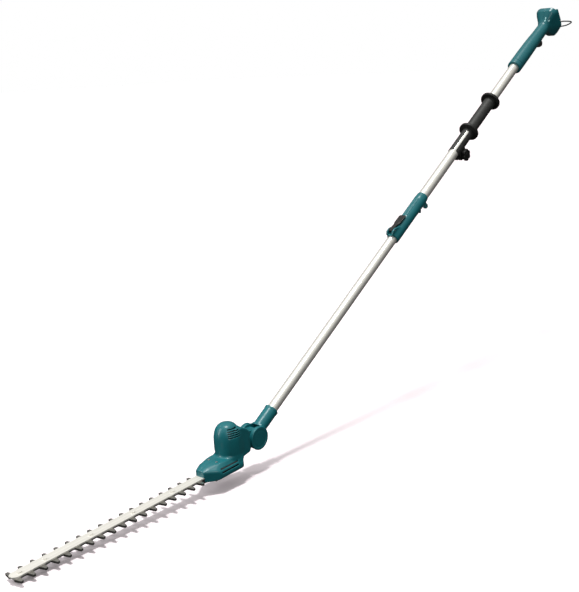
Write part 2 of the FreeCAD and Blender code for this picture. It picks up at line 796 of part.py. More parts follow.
def grip_bolt():
    return across(KNOB_BOLT_R, -KNOB_STATION, KNOB_HEIGHT, -CLAMP_LUG_HALF - 3, CLAMP_LUG_HALF + KNOB_THREAD)


def grip_knob():
    y0 = CLAMP_LUG_HALF + KNOB_HUB_DEPTH
    hub = across(KNOB_HUB_R, -KNOB_STATION, KNOB_HEIGHT, CLAMP_LUG_HALF + CLEARANCE, y0)
    disc = across(KNOB_R, -KNOB_STATION, KNOB_HEIGHT, y0, y0 + KNOB_THICK)
    disc = disc.makeFillet(KNOB_EDGE_R, [disc.Edges[0], disc.Edges[2]])
    knob = fuse(hub, disc)
    for lobe in range(KNOB_LOBES):
        angle = 2 * math.pi * lobe / KNOB_LOBES
        x = -KNOB_STATION + (KNOB_R + KNOB_SCALLOP_OFFSET) * math.cos(angle)
        z = KNOB_HEIGHT + (KNOB_R + KNOB_SCALLOP_OFFSET) * math.sin(angle)
        knob = knob.cut(across(KNOB_SCALLOP_R, x, z, y0 - 1, y0 + KNOB_THICK + 1))
    return knob.cut(across(KNOB_BOLT_R, -KNOB_STATION, KNOB_HEIGHT, 0, CLAMP_LUG_HALF + KNOB_THREAD))


# ---------------------------------------------------------------- head joint, pole side

def pole_sleeve():
    barrel = along(SLEEVE_R, SLEEVE_START, SLEEVE_END)
    cheeks = across(FORK_CHEEK_R, 0, 0, -FORK_HALF, FORK_HALF)
    yoke_outline = [(0.0, 13.0), (-30.0, 12.0), (-30.0, -12.0), (0.0, -13.0)]
    yoke_plan = mirrored([(0.0, FORK_HALF), (-20.0, FORK_HALF), (-30.0, 14.0)])
    yoke = side_prism(yoke_outline, FORK_HALF).common(plan_prism(yoke_plan, -30, 30))
    sleeve = fuse(barrel, cheeks, yoke)
    sleeve = sleeve.cut(across(FORK_CHEEK_R + 1, 0, 0, -FORK_GAP_HALF, FORK_GAP_HALF))
    sleeve = sleeve.cut(box(-SLEEVE_START, 60, -FORK_GAP_HALF, FORK_GAP_HALF, -40, 40))
    sleeve = sleeve.cut(along(INNER_TUBE_R, INNER_TUBE_START, SLEEVE_END + 1))
    sleeve = sleeve.cut(across(PIVOT_BOLT_R, 0, 0, -FORK_HALF - 1, FORK_HALF + 1))
    for side in (-1, 1):
        edge = side * FORK_HALF
        seat = side * (FORK_HALF - PIVOT_HEAD_DEPTH)
        sleeve = sleeve.cut(across(PIVOT_HEAD_R, 0, 0, min(edge, seat), max(edge, seat)))
    return sleeve.cut(across(LOCK_RING_R, 0, 0, FORK_GAP_HALF, FORK_GAP_HALF + LOCK_RING_DEPTH))


def joint_disc(side):
    disc = across(DISC_R, 0, 0, FORK_HALF, DISC_FACE)
    disc = disc.makeChamfer(DISC_BEVEL, [disc.Edges[0]])
    dish = across(DISC_R - 5, 0, 0, DISC_FACE - 0.8, DISC_FACE + 1)
    disc = disc.cut(dish)
    if side < 0:
        disc = disc.mirror(ORIGIN, AXIS_Y)
    return disc


def joint_disc_left():
    return joint_disc(1)


def joint_disc_right():
    return joint_disc(-1)


def pivot_bolt():
    shank = across(PIVOT_BOLT_R, 0, 0, -FORK_HALF + 0.5, FORK_HALF - PIVOT_HEAD_DEPTH)
    head = across(PIVOT_HEAD_R - 0.2, 0, 0, FORK_HALF - PIVOT_HEAD_DEPTH, FORK_HALF - 0.5)
    return fuse(shank, head)


def pivot_nut():
    nut = polygon_rod(6, PIVOT_HEAD_R - 0.4, 0, 0, 0, PIVOT_HEAD_DEPTH - 0.5)
    nut.rotate(ORIGIN, AXIS_X, -90)
    nut.translate(POINT(0, -FORK_HALF + 0.5, 0))
    return nut.cut(across(PIVOT_BOLT_R, 0, 0, -FORK_HALF - 1, 0))


def lock_ring():
    ring = across(LOCK_RING_R, 0, 0, FORK_GAP_HALF, FORK_GAP_HALF + LOCK_RING_DEPTH)
    ring = ring.cut(across(LOCK_RING_BORE_R, 0, 0, 0, 40))
    for tooth in range(LOCK_RING_TEETH):
        notch = box(LOCK_RING_BORE_R + 1, LOCK_RING_R + 1, FORK_GAP_HALF - 1, FORK_GAP_HALF + 1, -0.6, 0.6)
        notch.rotate(ORIGIN, AXIS_Y, 360.0 * tooth / LOCK_RING_TEETH)
        ring = ring.cut(notch)
    return ring


# ---------------------------------------------------------------- head casing

def base_block(inset):
    """Gear housing: sloping flanks, a bow-shaped nose and chamfered lower edges."""
    plan = mirrored([
        (BASE_REAR, 24.0),
        (BASE_REAR + 9, BASE_HALF),
        (138.0, BASE_HALF),
        (150.0, 28.0),
        (162.0, 20.0),
        (NOSE_X, 12.5),
    ])
    side = [
        (BASE_REAR, -20.0),
        (BASE_REAR + 11, BASE_TOP),
        (140.0, BASE_TOP),
        (158.0, BASE_TOP - 3),
        (NOSE_X, BASE_TOP - 8),
        (NOSE_X, BASE_BOTTOM + 3),
        (NOSE_X - 5, BASE_BOTTOM),
        (BASE_REAR + 10, BASE_BOTTOM),
        (BASE_REAR, BASE_BOTTOM + 8),
    ]
    half_section = [
        (24.0, BASE_TOP),
        (34.0, -24.0),
        (BASE_HALF, -35.5),
        (BASE_HALF - 6, BASE_BOTTOM),
    ]
    section = half_section + [(-y, z) for y, z in reversed(half_section)]
    block = plan_prism(plan, BASE_BOTTOM - 5, BASE_TOP + 5, inset)
    block = block.common(side_prism(side, BASE_HALF + 5, inset))
    block = block.common(front_prism(section, BASE_REAR - 5, NOSE_X + 5, inset))
    for turn in (-1, 1):
        point = POINT(120.0, 24.0 * turn, BASE_TOP)
        normal = POINT(0.262, 0.528 * turn, 0.808)
        block = slice_off(block, point - normal * inset, normal)
    return block


def slice_off(shape, point, normal):
    """Cut away what lies beyond a plane through the point."""
    size = 400.0
    slab = Part.makeBox(size, size, size, POINT(-size / 2, -size / 2, 0))
    slab.Placement = FreeCAD.Placement(point, FreeCAD.Rotation(AXIS_Z, normal))
    return shape.cut(slab)


def dome(inset):
    """Motor dome: straight wall, round corner, shallow crown, tangent to one another."""
    radius = DOME_R - inset
    top = DOME_TOP - inset
    corner = DOME_CORNER_R - inset
    crown = DOME_CROWN_R - inset
    corner_centre_r = radius - corner
    crown_centre_z = top - crown
    corner_centre_z = crown_centre_z + math.sqrt((crown - corner) ** 2 - corner_centre_r ** 2)
    join_angle = math.atan2(corner_centre_z - crown_centre_z, corner_centre_r)

    def at(centre_r, centre_z, size, angle):
        return POINT(DOME_X + centre_r + size * math.cos(angle), 0, centre_z + size * math.sin(angle))

    foot_axis = POINT(DOME_X, 0, DOME_FOOT)
    foot_edge = POINT(DOME_X + radius, 0, DOME_FOOT)
    wall_top = at(corner_centre_r, corner_centre_z, corner, 0)
    corner_middle = at(corner_centre_r, corner_centre_z, corner, join_angle / 2)
    tangent = at(0, crown_centre_z, crown, join_angle)
    crown_middle = at(0, crown_centre_z, crown, (join_angle + math.pi / 2) / 2)
    apex = at(0, crown_centre_z, crown, math.pi / 2)
    outline = Part.Wire([
        Part.makeLine(foot_axis, foot_edge),
        Part.makeLine(foot_edge, wall_top),
        Part.Arc(wall_top, corner_middle, tangent).toShape(),
        Part.Arc(tangent, crown_middle, apex).toShape(),
        Part.makeLine(apex, foot_axis),
    ])
    return Part.Face(outline).revolve(POINT(DOME_X, 0, 0), AXIS_Z, 360)


def dome_flare():
    """Concave skirt between the dome wall and the top of the base."""
    foot = POINT(DOME_X + FLARE_R, 0, BASE_TOP)
    bend = POINT(DOME_X + DOME_R + 3.2, 0, BASE_TOP + 4.0)
    top = POINT(DOME_X + DOME_R, 0, FLARE_TOP)
    inner_top = POINT(DOME_X + DOME_R - 1, 0, FLARE_TOP)
    inner_foot = POINT(DOME_X + DOME_R - 1, 0, BASE_TOP - 2)
    outer_foot = POINT(DOME_X + FLARE_R, 0, BASE_TOP - 2)
    outline = Part.Wire([
        Part.Arc(foot, bend, top).toShape(),
        Part.makeLine(top, inner_top),
        Part.makeLine(inner_top, inner_foot),
        Part.makeLine(inner_foot, outer_foot),
        Part.makeLine(outer_foot, foot),
    ])
    skirt = Part.Face(outline).revolve(POINT(DOME_X, 0, 0), AXIS_Z, 360)
    return skirt.common(upright(DOME_R, DOME_X + FLARE_R - DOME_R, 0, BASE_TOP - 2, FLARE_TOP))


def arm(inset):
    """Bridge from the motor dome back to the joint."""
    side = [
        (28.0, 30.0),
        (44.0, 43.0),
        (60.0, 50.0),
        (90.0, 50.0),
        (90.0, -22.0),
        (60.0, -22.0),
        (44.0, -21.0),
        (28.0, -18.0),
    ]
    plan = mirrored([(28.0, 16.0), (34.0, 22.0), (58.0, 27.0), (90.0, 30.0)])
    return side_prism(side, 40, inset).common(plan_prism(plan, -60, 60, inset))


def tongue():
    neck_outline = [(0.0, 19.5), (32.0, 27.0), (32.0, -17.0), (0.0, -19.5)]
    neck = side_prism(neck_outline, TONGUE_HALF)
    barrel = across(TONGUE_R, 0, 0, -TONGUE_HALF, TONGUE_HALF)
    return fuse(neck, barrel)


def head_casing():
    outer = fuse(base_block(0.0), dome(0.0), dome_flare(), arm(0.0), tongue())
    hollow = fuse(base_block(WALL), dome(WALL), arm(WALL))
    casing = outer.cut(hollow)
    for level in MOTOR_RIBS:
        rib = upright(DOME_R - 1, DOME_X, 0, level, level + RIB_THICK)
        casing = casing.fuse(rib.cut(upright(MOTOR_R, DOME_X, 0, level - 1, level + RIB_THICK + 1)))
    casing = casing.cut(across(PIVOT_BOLT_R + RUNNING_FIT, 0, 0, -40, 40))
    casing = casing.cut(box(COVER_REAR, COVER_FRONT, -COVER_HALF, COVER_HALF, BASE_BOTTOM - 1, -38))
    casing = casing.cut(box(COVER_FRONT - 1, NOSE_X + 1, -GUARD_HALF, GUARD_HALF, BASE_BOTTOM - 1, CASE_FLOOR))
    for level in SIDE_SLOTS:
        casing = casing.cut(box(SIDE_SLOT_REAR, SIDE_SLOT_FRONT, -60, 60,
                                level - SIDE_SLOT_HEIGHT / 2, level + SIDE_SLOT_HEIGHT / 2))
    casing = casing.cut(vents(1)).cut(vents(-1))
    for x, z in HEAD_SCREWS:
        casing = casing.cut(across(HEAD_SCREW_HEAD_R + 0.1, x, z, -60, -14))
    for side in (-1, 1):
        y = side * NOSE_SCREW_Y
        casing = casing.cut(upright(NOSE_SCREW_R + 0.1, NOSE_SCREW_X, y, NOSE_SCREW_TIP, BASE_TOP + 1))
        casing = casing.cut(upright(NOSE_SCREW_HEAD_R + 0.2, NOSE_SCREW_X, y, NOSE_SCREW_SEAT, BASE_TOP + 1))
    return casing


def vents(side):
    cuts = []
    for level in VENT_LEVELS:
        slit = box(18, 40, -VENT_WIDTH / 2, VENT_WIDTH / 2, level, level + VENT_HEIGHT)
        slit.rotate(ORIGIN, AXIS_Z, side * VENT_AZIMUTH)
        slit.translate(POINT(DOME_X, 0, 0))
        cuts.append(slit.cut(upright(MOTOR_R + 3, DOME_X, 0, 0, 80)))
    return Part.Compound(cuts)


def head_shell_left():
    return left_half(head_casing())


def head_shell_right():
    return right_half(head_casing())


def head_screws():
    screws = []
    for x, z in HEAD_SCREWS:
        head = across(HEAD_SCREW_HEAD_R, x, z, HEAD_SCREW_SEAT - HEAD_SCREW_HEAD_THICK, HEAD_SCREW_SEAT)
        screws.append(head.fuse(across(HEAD_SCREW_R, x, z, HEAD_SCREW_SEAT, HEAD_SCREW_TIP)))
    return Part.Compound(screws)


def nose_screws():
    screws = []
    for side in (-1, 1):
        y = side * NOSE_SCREW_Y
        head = upright(NOSE_SCREW_HEAD_R, NOSE_SCREW_X, y, NOSE_SCREW_SEAT,
                       NOSE_SCREW_SEAT + NOSE_SCREW_HEAD_THICK)
        shank = upright(NOSE_SCREW_R, NOSE_SCREW_X, y, NOSE_SCREW_TIP, NOSE_SCREW_SEAT)
        screws.append(head.fuse(shank))
    return Part.Compound(screws)


def bottom_cover():
    gap = 0.2
    plate = box(COVER_REAR + gap, COVER_FRONT - gap, -COVER_HALF + gap, COVER_HALF - gap,
                BASE_BOTTOM, BASE_BOTTOM + COVER_THICK)
    for x in COVER_RIBS:
        plate = plate.cut(box(x - 1, x + 1, -20, 20, BASE_BOTTOM - 1, BASE_BOTTOM + 0.8))
    return plate


def nose_guard():
    """Black channel under the nose that the blades run out of."""
    block = box(COVER_FRONT, GUARD_FRONT, -GUARD_HALF + 0.1, GUARD_HALF - 0.1, BASE_BOTTOM,
                CASE_FLOOR - BAR_THICK - 0.1)
    channel = box(COVER_FRONT - 1, NOSE_X + 3, -BLADE_HALF - 1, BLADE_HALF + 1,
                  NUT_TOP - 2.6, CASE_FLOOR)
    return block.cut(channel)


# ---------------------------------------------------------------- motor

def motor_can():
    can = upright(MOTOR_R, DOME_X, 0, MOTOR_BOTTOM, MOTOR_TOP)
    can = can.cut(upright(MOTOR_BORE_R, DOME_X, 0, MOTOR_BOTTOM + MOTOR_FLOOR, MOTOR_TOP + 1))
    return can.cut(upright(SHAFT_BUSH_R, DOME_X, 0, MOTOR_BOTTOM - 1, MOTOR_TOP))


def motor_magnets():
    ring = upright(MOTOR_BORE_R, DOME_X, 0, MAGNET_BOTTOM, MAGNET_TOP)
    ring = ring.cut(upright(MAGNET_BORE_R, DOME_X, 0, MAGNET_BOTTOM - 1, MAGNET_TOP + 1))
    ring = ring.cut(box(DOME_X - MAGNET_GAP / 2, DOME_X + MAGNET_GAP / 2, -MOTOR_R, MOTOR_R,
                        MAGNET_BOTTOM - 1, MAGNET_TOP + 1))
    return Part.Compound(ring.Solids)


def motor_end_cap():
    cap = upright(MOTOR_R, DOME_X, 0, MOTOR_TOP, END_CAP_TOP)
    return cap.cut(upright(SHAFT_BUSH_R, DOME_X, 0, MOTOR_TOP - 1, END_CAP_TOP + 1))


def motor_bushes():
    bushes = []
    for low in (MOTOR_BOTTOM, MOTOR_TOP):
        bush = upright(SHAFT_BUSH_R, DOME_X, 0, low, low + BUSH_LENGTH)
        bushes.append(bush.cut(upright(SHAFT_R + RUNNING_FIT, DOME_X, 0, low - 1, low + 5)))
    return Part.Compound(bushes)


def motor_shaft():
    return upright(SHAFT_R, DOME_X, 0, SHAFT_BOTTOM, END_CAP_TOP)


def motor_core():
    core = upright(CORE_R, DOME_X, 0, CORE_BOTTOM, CORE_TOP)
    for slot in range(CORE_SLOTS):
        groove = box(3.5, CORE_R + 1, -0.8, 0.8, CORE_BOTTOM - 1, CORE_TOP + 1)
        groove.rotate(ORIGIN, AXIS_Z, 360.0 * slot / CORE_SLOTS)
        groove.translate(POINT(DOME_X, 0, 0))
        core = core.cut(groove)
    commutator = upright(COMMUTATOR_R, DOME_X, 0, CORE_TOP, COMMUTATOR_TOP)
    return fuse(core, commutator).cut(upright(SHAFT_R, DOME_X, 0, 0, 60))


def motor_fan():
    hub = upright(FAN_HUB_R, DOME_X, 0, FAN_BOTTOM, FAN_TOP)
    disc = upright(FAN_R, DOME_X, 0, FAN_BOTTOM, FAN_BOTTOM + FAN_DISC)
    blades = []
    for blade in range(FAN_BLADES):
        vane = box(FAN_HUB_R - 0.5, FAN_R, -0.5, 0.5, FAN_BOTTOM + FAN_DISC, FAN_TOP)
        vane.rotate(ORIGIN, AXIS_Z, 360.0 * blade / FAN_BLADES)
        vane.translate(POINT(DOME_X, 0, 0))
        blades.append(vane)
    return fuse(hub, disc, *blades).cut(upright(SHAFT_R, DOME_X, 0, -20, 0))


# ---------------------------------------------------------------- gears and crank

def toothed_wheel(teeth, x, z0, z1, phase):
    """Wheel with straight-flanked teeth that leave the set backlash at the pitch circle."""
    pitch_r = MODULE * teeth / 2
    pitch_half = math.pi * MODULE / 4 - BACKLASH
    lean = math.tan(math.radians(20))
    root_depth = 1.25 * MODULE
    tip_height = 0.95 * MODULE
    corners = []
    for tooth in range(teeth):
        middle = phase + 2 * math.pi * tooth / teeth
        flank = (
            (pitch_r - root_depth, -pitch_half - lean * root_depth),
            (pitch_r + tip_height, -pitch_half + lean * tip_height),
            (pitch_r + tip_height, pitch_half - lean * tip_height),
            (pitch_r - root_depth, pitch_half + lean * root_depth),
        )
        for radius, half in flank:
            angle = middle + half / radius
            corners.append(POINT(x + radius * math.cos(angle), radius * math.sin(angle), z0))
    return face_of(corners).extrude(POINT(0, 0, z1 - z0))


def motor_pinion():
    wheel = toothed_wheel(PINION_TEETH, DOME_X, GEAR_BOTTOM, PINION_TOP, math.pi / PINION_TEETH)
    return wheel.cut(upright(SHAFT_R, DOME_X, 0, -40, 0))


def drive_gear():
    wheel = toothed_wheel(GEAR_TEETH, CRANK_X, GEAR_BOTTOM, GEAR_TOP, 0.0)
    for hole in range(4):
        angle = math.pi / 4 + math.pi / 2 * hole
        wheel = wheel.cut(upright(4, CRANK_X + 15 * math.cos(angle), 15 * math.sin(angle), -40, 0))
    return wheel.cut(upright(CRANKSHAFT_R, CRANK_X, 0, -40, 0))


def crankshaft():
    journal = upright(CRANKSHAFT_R, CRANK_X, 0, GEAR_BOTTOM - 1.4, BEARING_TOP)
    hub = upright(6.5, CRANK_X, 0, GEAR_BOTTOM - 1.4, GEAR_BOTTOM)
    first_top = GEAR_BOTTOM - 1.4
    second_top = first_top - ECCENTRIC_THICK
    first = upright(ECCENTRIC_R, CRANK_X, CRANK_THROW, second_top, first_top)
    second = upright(ECCENTRIC_R, CRANK_X, -CRANK_THROW, second_top - ECCENTRIC_THICK, second_top)
    return fuse(journal, hub, first, second)


def crank_bearing():
    outer = upright(BEARING_R, CRANK_X, 0, GEAR_TOP + 1, BEARING_TOP)
    outer = outer.cut(upright(CRANKSHAFT_R + RUNNING_FIT, CRANK_X, 0, -40, 0))
    groove = upright(7.6, CRANK_X, 0, BEARING_TOP - 0.5, BEARING_TOP + 1)
    return outer.cut(groove.cut(upright(5.6, CRANK_X, 0, -40, 0)))


def gear_case():
    half_section = [(20.0, CASE_TOP), (CASE_HALF, -20.0), (CASE_HALF, CASE_FLOOR)]
    section = half_section + [(-y, z) for y, z in reversed(half_section)]
    body = front_prism(section, CASE_REAR, CASE_NOSE_REAR)
    corners = plan_prism(mirrored([
        (CASE_REAR, CASE_HALF - 8),
        (CASE_REAR + 8, CASE_HALF),
        (CASE_NOSE_REAR - 8, CASE_HALF),
        (CASE_NOSE_REAR, CASE_HALF - 8),
    ]), CASE_FLOOR, CASE_TOP)
    nose = box(CASE_NOSE_REAR - 4, CASE_FRONT, -CASE_NOSE_HALF, CASE_NOSE_HALF,
               CASE_FLOOR, CASE_TOP - 12)
    body = fuse(body.common(corners), nose)
    gear_r = MODULE * GEAR_TEETH / 2 + 1.5
    pinion_r = MODULE * PINION_TEETH / 2 + 1.5
    body = body.cut(upright(gear_r, CRANK_X, 0, GEAR_BOTTOM - 1.4, GEAR_TOP + 1))
    body = body.cut(upright(pinion_r, DOME_X, 0, SHAFT_BOTTOM - 1, CASE_TOP + 1))
    body = body.cut(upright(CRANK_THROW + ECCENTRIC_R + 0.5, CRANK_X, 0, CASE_FLOOR - 1, GEAR_BOTTOM))
    body = body.cut(upright(BEARING_R, CRANK_X, 0, GEAR_TOP, BEARING_TOP))
    for x in ROOT_BOLTS:
        body = body.cut(upright(BOLT_R, x, 0, CASE_FLOOR - 1, CASE_FLOOR + 5))
    for side in (-1, 1):
        body = body.cut(upright(NOSE_SCREW_R, NOSE_SCREW_X, side * NOSE_SCREW_Y, NOSE_SCREW_TIP, CASE_TOP + 1))
    return body


# ---------------------------------------------------------------- blades

def travel_slot(x, z0, z1):
    half = BOLT_R + CLEARANCE
    middle = box(x - STROKE, x + STROKE, -half, half, z0, z1)
    return middle.fuse([upright(half, x - STROKE, 0, z0, z1), upright(half, x + STROKE, 0, z0, z1)])


def guide_bar():
    outline = mirrored([
        (BAR_START, BAR_HALF),
        (BAR_END - 8, BAR_HALF),
        (BAR_END, BAR_HALF - 7),
    ])
    bar = plan_prism(outline, CASE_FLOOR - BAR_THICK, CASE_FLOOR)
    for x in BAR_BOLTS + ROOT_BOLTS:
        bar = bar.cut(upright(BOLT_R, x, 0, CASE_FLOOR - 10, CASE_FLOOR + 1))
    return bar


def tooth_outline():
    """One side of a blade: the strip edge with its row of teeth."""
    edge = [(BLADE_ROOT_END, BLADE_HALF)]
    for tooth in range(TOOTH_COUNT):
        x = TOOTH_FIRST + TOOTH_PITCH * tooth
        edge.append((x - TOOTH_BASE_HALF, BLADE_HALF))
        edge.append((x - TOOTH_TIP_HALF, TOOTH_REACH - 1))
        edge.append((x + TOOTH_TIP_HALF, TOOTH_REACH))
        edge.append((x + TOOTH_BASE_HALF, BLADE_HALF))
    return edge


def blade(top):
    low = top - BLADE_THICK
    outline = mirrored(
        [(BLADE_ROOT_START, BLADE_ROOT_HALF - 4), (BLADE_ROOT_START + 4, BLADE_ROOT_HALF),
         (BLADE_ROOT_END - 8, BLADE_ROOT_HALF)]
        + tooth_outline() + [(BLADE_END, 4.0)])
    strip = plan_prism(outline, low, top)
    slot_half = CRANK_THROW + ECCENTRIC_R + CLEARANCE
    slot_end = slot_half - ECCENTRIC_R
    pocket_r = ECCENTRIC_R + CLEARANCE
    pocket = box(CRANK_X - pocket_r, CRANK_X + pocket_r, -slot_end, slot_end, low - 1, top + 1)
    ends = [upright(pocket_r, CRANK_X, y, low - 1, top + 1) for y in (-slot_end, slot_end)]
    strip = strip.cut(pocket.fuse(ends))
    for x in BAR_BOLTS + ROOT_BOLTS:
        strip = strip.cut(travel_slot(x, low - 1, top + 1))
    return strip


def upper_blade():
    return blade(UPPER_BLADE_TOP)


def lower_blade():
    return blade(LOWER_BLADE_TOP)


def blade_bolts():
    bolts = []
    for x in BAR_BOLTS:
        shank = upright(BOLT_R, x, 0, NUT_TOP - NUT_THICK, CASE_FLOOR)
        head = upright(BOLT_HEAD_R, x, 0, CASE_FLOOR, CASE_FLOOR + BOLT_HEAD_THICK)
        bolts.append(shank.fuse(head))
    for x in ROOT_BOLTS:
        shank = upright(BOLT_R, x, 0, NUT_TOP, CASE_FLOOR + 5)
        head = upright(BOLT_HEAD_R, x, 0, NUT_TOP - 1.8, NUT_TOP)
        bolts.append(shank.fuse(head))
    return Part.Compound(bolts)


def blade_nuts():
    nuts = []
    for x in BAR_BOLTS:
        nut = polygon_rod(6, NUT_R, x, 0, NUT_TOP - NUT_THICK, NUT_TOP)
        nuts.append(nut.cut(upright(BOLT_R, x, 0, NUT_TOP - 10, NUT_TOP + 1)))
    return Part.Compound(nuts)


# ---------------------------------------------------------------- placing and writing

HEAD_PARTS = (
    head_shell_left, head_shell_right, head_screws, nose_screws, bottom_cover, nose_guard,
    motor_can, motor_magnets, motor_end_cap, motor_bushes, motor_shaft, motor_core, motor_fan,
    motor_pinion, drive_gear, crankshaft, crank_bearing, gear_case,
    guide_bar, upper_blade, lower_blade, blade_bolts, blade_nuts,
)

POLE_PARTS = (
    handle_shell_left, handle_shell_right, handle_collar, casing_screws, light_lenses,
    rear_plate, terminal_block, control_board, switch_body,
    trigger, trigger_pin, trigger_spring, wire_loop, loop_sockets,
    outer_tube, inner_tube, tube_plug,
    clamp_shell_left, clamp_shell_right, slide_bush, clamp_band,
    lever_pin, cam_lever, strap_eye,
    lower_flange, upper_flange, grip_sleeve, grip_collar, grip_nut, grip_bolt, grip_knob,
    pole_sleeve, joint_disc_left, joint_disc_right, pivot_bolt, pivot_nut, lock_ring,
)


def write(builder, tilt):
    shape = builder()
    shape.rotate(ORIGIN, AXIS_Y, tilt)
    tilt_angle = math.radians(POLE_TILT)
    forward = PIVOT_TO_GRIP * math.cos(tilt_angle)
    down = PIVOT_TO_GRIP * math.sin(tilt_angle)
    shape.translate(POINT(forward, 0, -down))
    shape.exportStep(os.path.join("parts", builder.__name__ + ".step"))


os.makedirs("parts", exist_ok=True)
for head_part in HEAD_PARTS:
    write(head_part, 0.0)
for pole_part in POLE_PARTS:
    write(pole_part, POLE_TILT)
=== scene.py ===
import bpy
import json
import math
import numpy as np
from mathutils import Matrix, Vector


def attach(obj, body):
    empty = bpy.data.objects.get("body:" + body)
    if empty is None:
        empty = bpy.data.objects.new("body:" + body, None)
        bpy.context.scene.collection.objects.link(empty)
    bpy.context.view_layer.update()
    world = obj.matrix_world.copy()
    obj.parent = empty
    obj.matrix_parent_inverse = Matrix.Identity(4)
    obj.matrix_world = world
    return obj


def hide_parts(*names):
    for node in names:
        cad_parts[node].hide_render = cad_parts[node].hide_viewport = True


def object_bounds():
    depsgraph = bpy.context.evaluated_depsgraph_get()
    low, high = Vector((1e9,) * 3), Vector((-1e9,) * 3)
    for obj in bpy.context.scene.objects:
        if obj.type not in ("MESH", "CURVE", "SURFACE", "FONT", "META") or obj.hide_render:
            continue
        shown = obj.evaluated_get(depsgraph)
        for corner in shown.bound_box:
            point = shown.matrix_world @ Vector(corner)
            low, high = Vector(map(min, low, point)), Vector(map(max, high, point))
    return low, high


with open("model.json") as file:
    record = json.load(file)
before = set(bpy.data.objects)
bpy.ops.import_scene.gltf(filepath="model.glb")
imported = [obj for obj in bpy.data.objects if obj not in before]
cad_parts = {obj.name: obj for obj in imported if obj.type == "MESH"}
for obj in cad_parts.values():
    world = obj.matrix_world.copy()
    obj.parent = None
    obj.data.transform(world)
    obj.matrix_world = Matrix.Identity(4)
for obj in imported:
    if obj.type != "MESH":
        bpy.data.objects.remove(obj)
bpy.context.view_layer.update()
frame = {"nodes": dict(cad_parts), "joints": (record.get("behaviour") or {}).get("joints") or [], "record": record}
joints = {joint["name"]: joint for joint in frame["joints"]}

# ------------------------------------------------------------------ frames
# Lengths inside the shape functions are millimetres. The head's pieces are drawn about the
# head pivot with the row axes; the pole's pieces are drawn about it with X pointing down the
# pole, so a station is a distance behind the pivot, at x = -station.
MM = 0.001
PIVOT = Vector(joints["head_tilt"]["pos_m"])
POLE_BACK = Vector(joints["telescope"]["axis"]).normalized()
SIDE = Vector((0, 1, 0))
POLE_UP = SIDE.cross(POLE_BACK)


def basis(x_axis, y_axis, z_axis, origin):
    columns = Matrix((x_axis, y_axis, z_axis)).transposed().to_4x4()
    return Matrix.Translation(origin) @ columns @ Matrix.Scale(MM, 4)


HEAD = basis(Vector((1, 0, 0)), SIDE, Vector((0, 0, 1)), PIVOT)
POLE = basis(-POLE_BACK, SIDE, POLE_UP, PIVOT)


# ------------------------------------------------------------------ distance fields
FAR_INSIDE = -9    # a field value that lets a cut pass by


def join(first, second, radius):
    """Union with a fillet of that radius."""
    a = np.maximum(radius - first, 0)
    b = np.maximum(radius - second, 0)
    return np.maximum(radius, np.minimum(first, second)) - np.sqrt(a * a + b * b)


def meet(first, second, radius):
    """Intersection with its edge rounded to that radius."""
    a = np.maximum(radius + first, 0)
    b = np.maximum(radius + second, 0)
    return np.minimum(-radius, np.maximum(first, second)) + np.sqrt(a * a + b * b)


def carve(body, tool, radius):
    """Subtraction with its edge rounded to that radius."""
    return meet(body, -tool, radius)


def between(value, low, high):
    return np.maximum(low - value, value - high)


def rod(a, b, along, radius, low, high, edge):
    """Round bar: a and b run across it, along runs down it."""
    return meet(np.hypot(a, b) - radius, between(along, low, high), edge)


def block(x, y, z, low, high, edge):
    """Box between two corners, with rounded edges."""
    centre = [(a + b) / 2 for a, b in zip(low, high)]
    half = [(b - a) / 2 - edge for a, b in zip(low, high)]
    q = [np.abs(v - c) - h for v, c, h in zip((x, y, z), centre, half)]
    outside = np.sqrt(sum(np.maximum(v, 0) ** 2 for v in q))
    inside = np.minimum(np.maximum(np.maximum(q[0], q[1]), q[2]), 0)
    return outside + inside - edge


def facets(a, b, corners, edge):
    """Convex outline through the corners, counter-clockwise in (a, b), with rounded corners."""
    field = None
    for (a0, b0), (a1, b1) in zip(corners, corners[1:] + corners[:1]):
        length = np.hypot(a1 - a0, b1 - b0)
        side = ((a - a0) * (b1 - b0) - (b - b0) * (a1 - a0)) / length
        field = side if field is None else meet(field, side, edge)
    return field


def symmetric(half):
    """Half outline on the positive first axis, from the bottom up, completed on the other side."""
    return list(half) + [(-a, b) for a, b in reversed(half)]


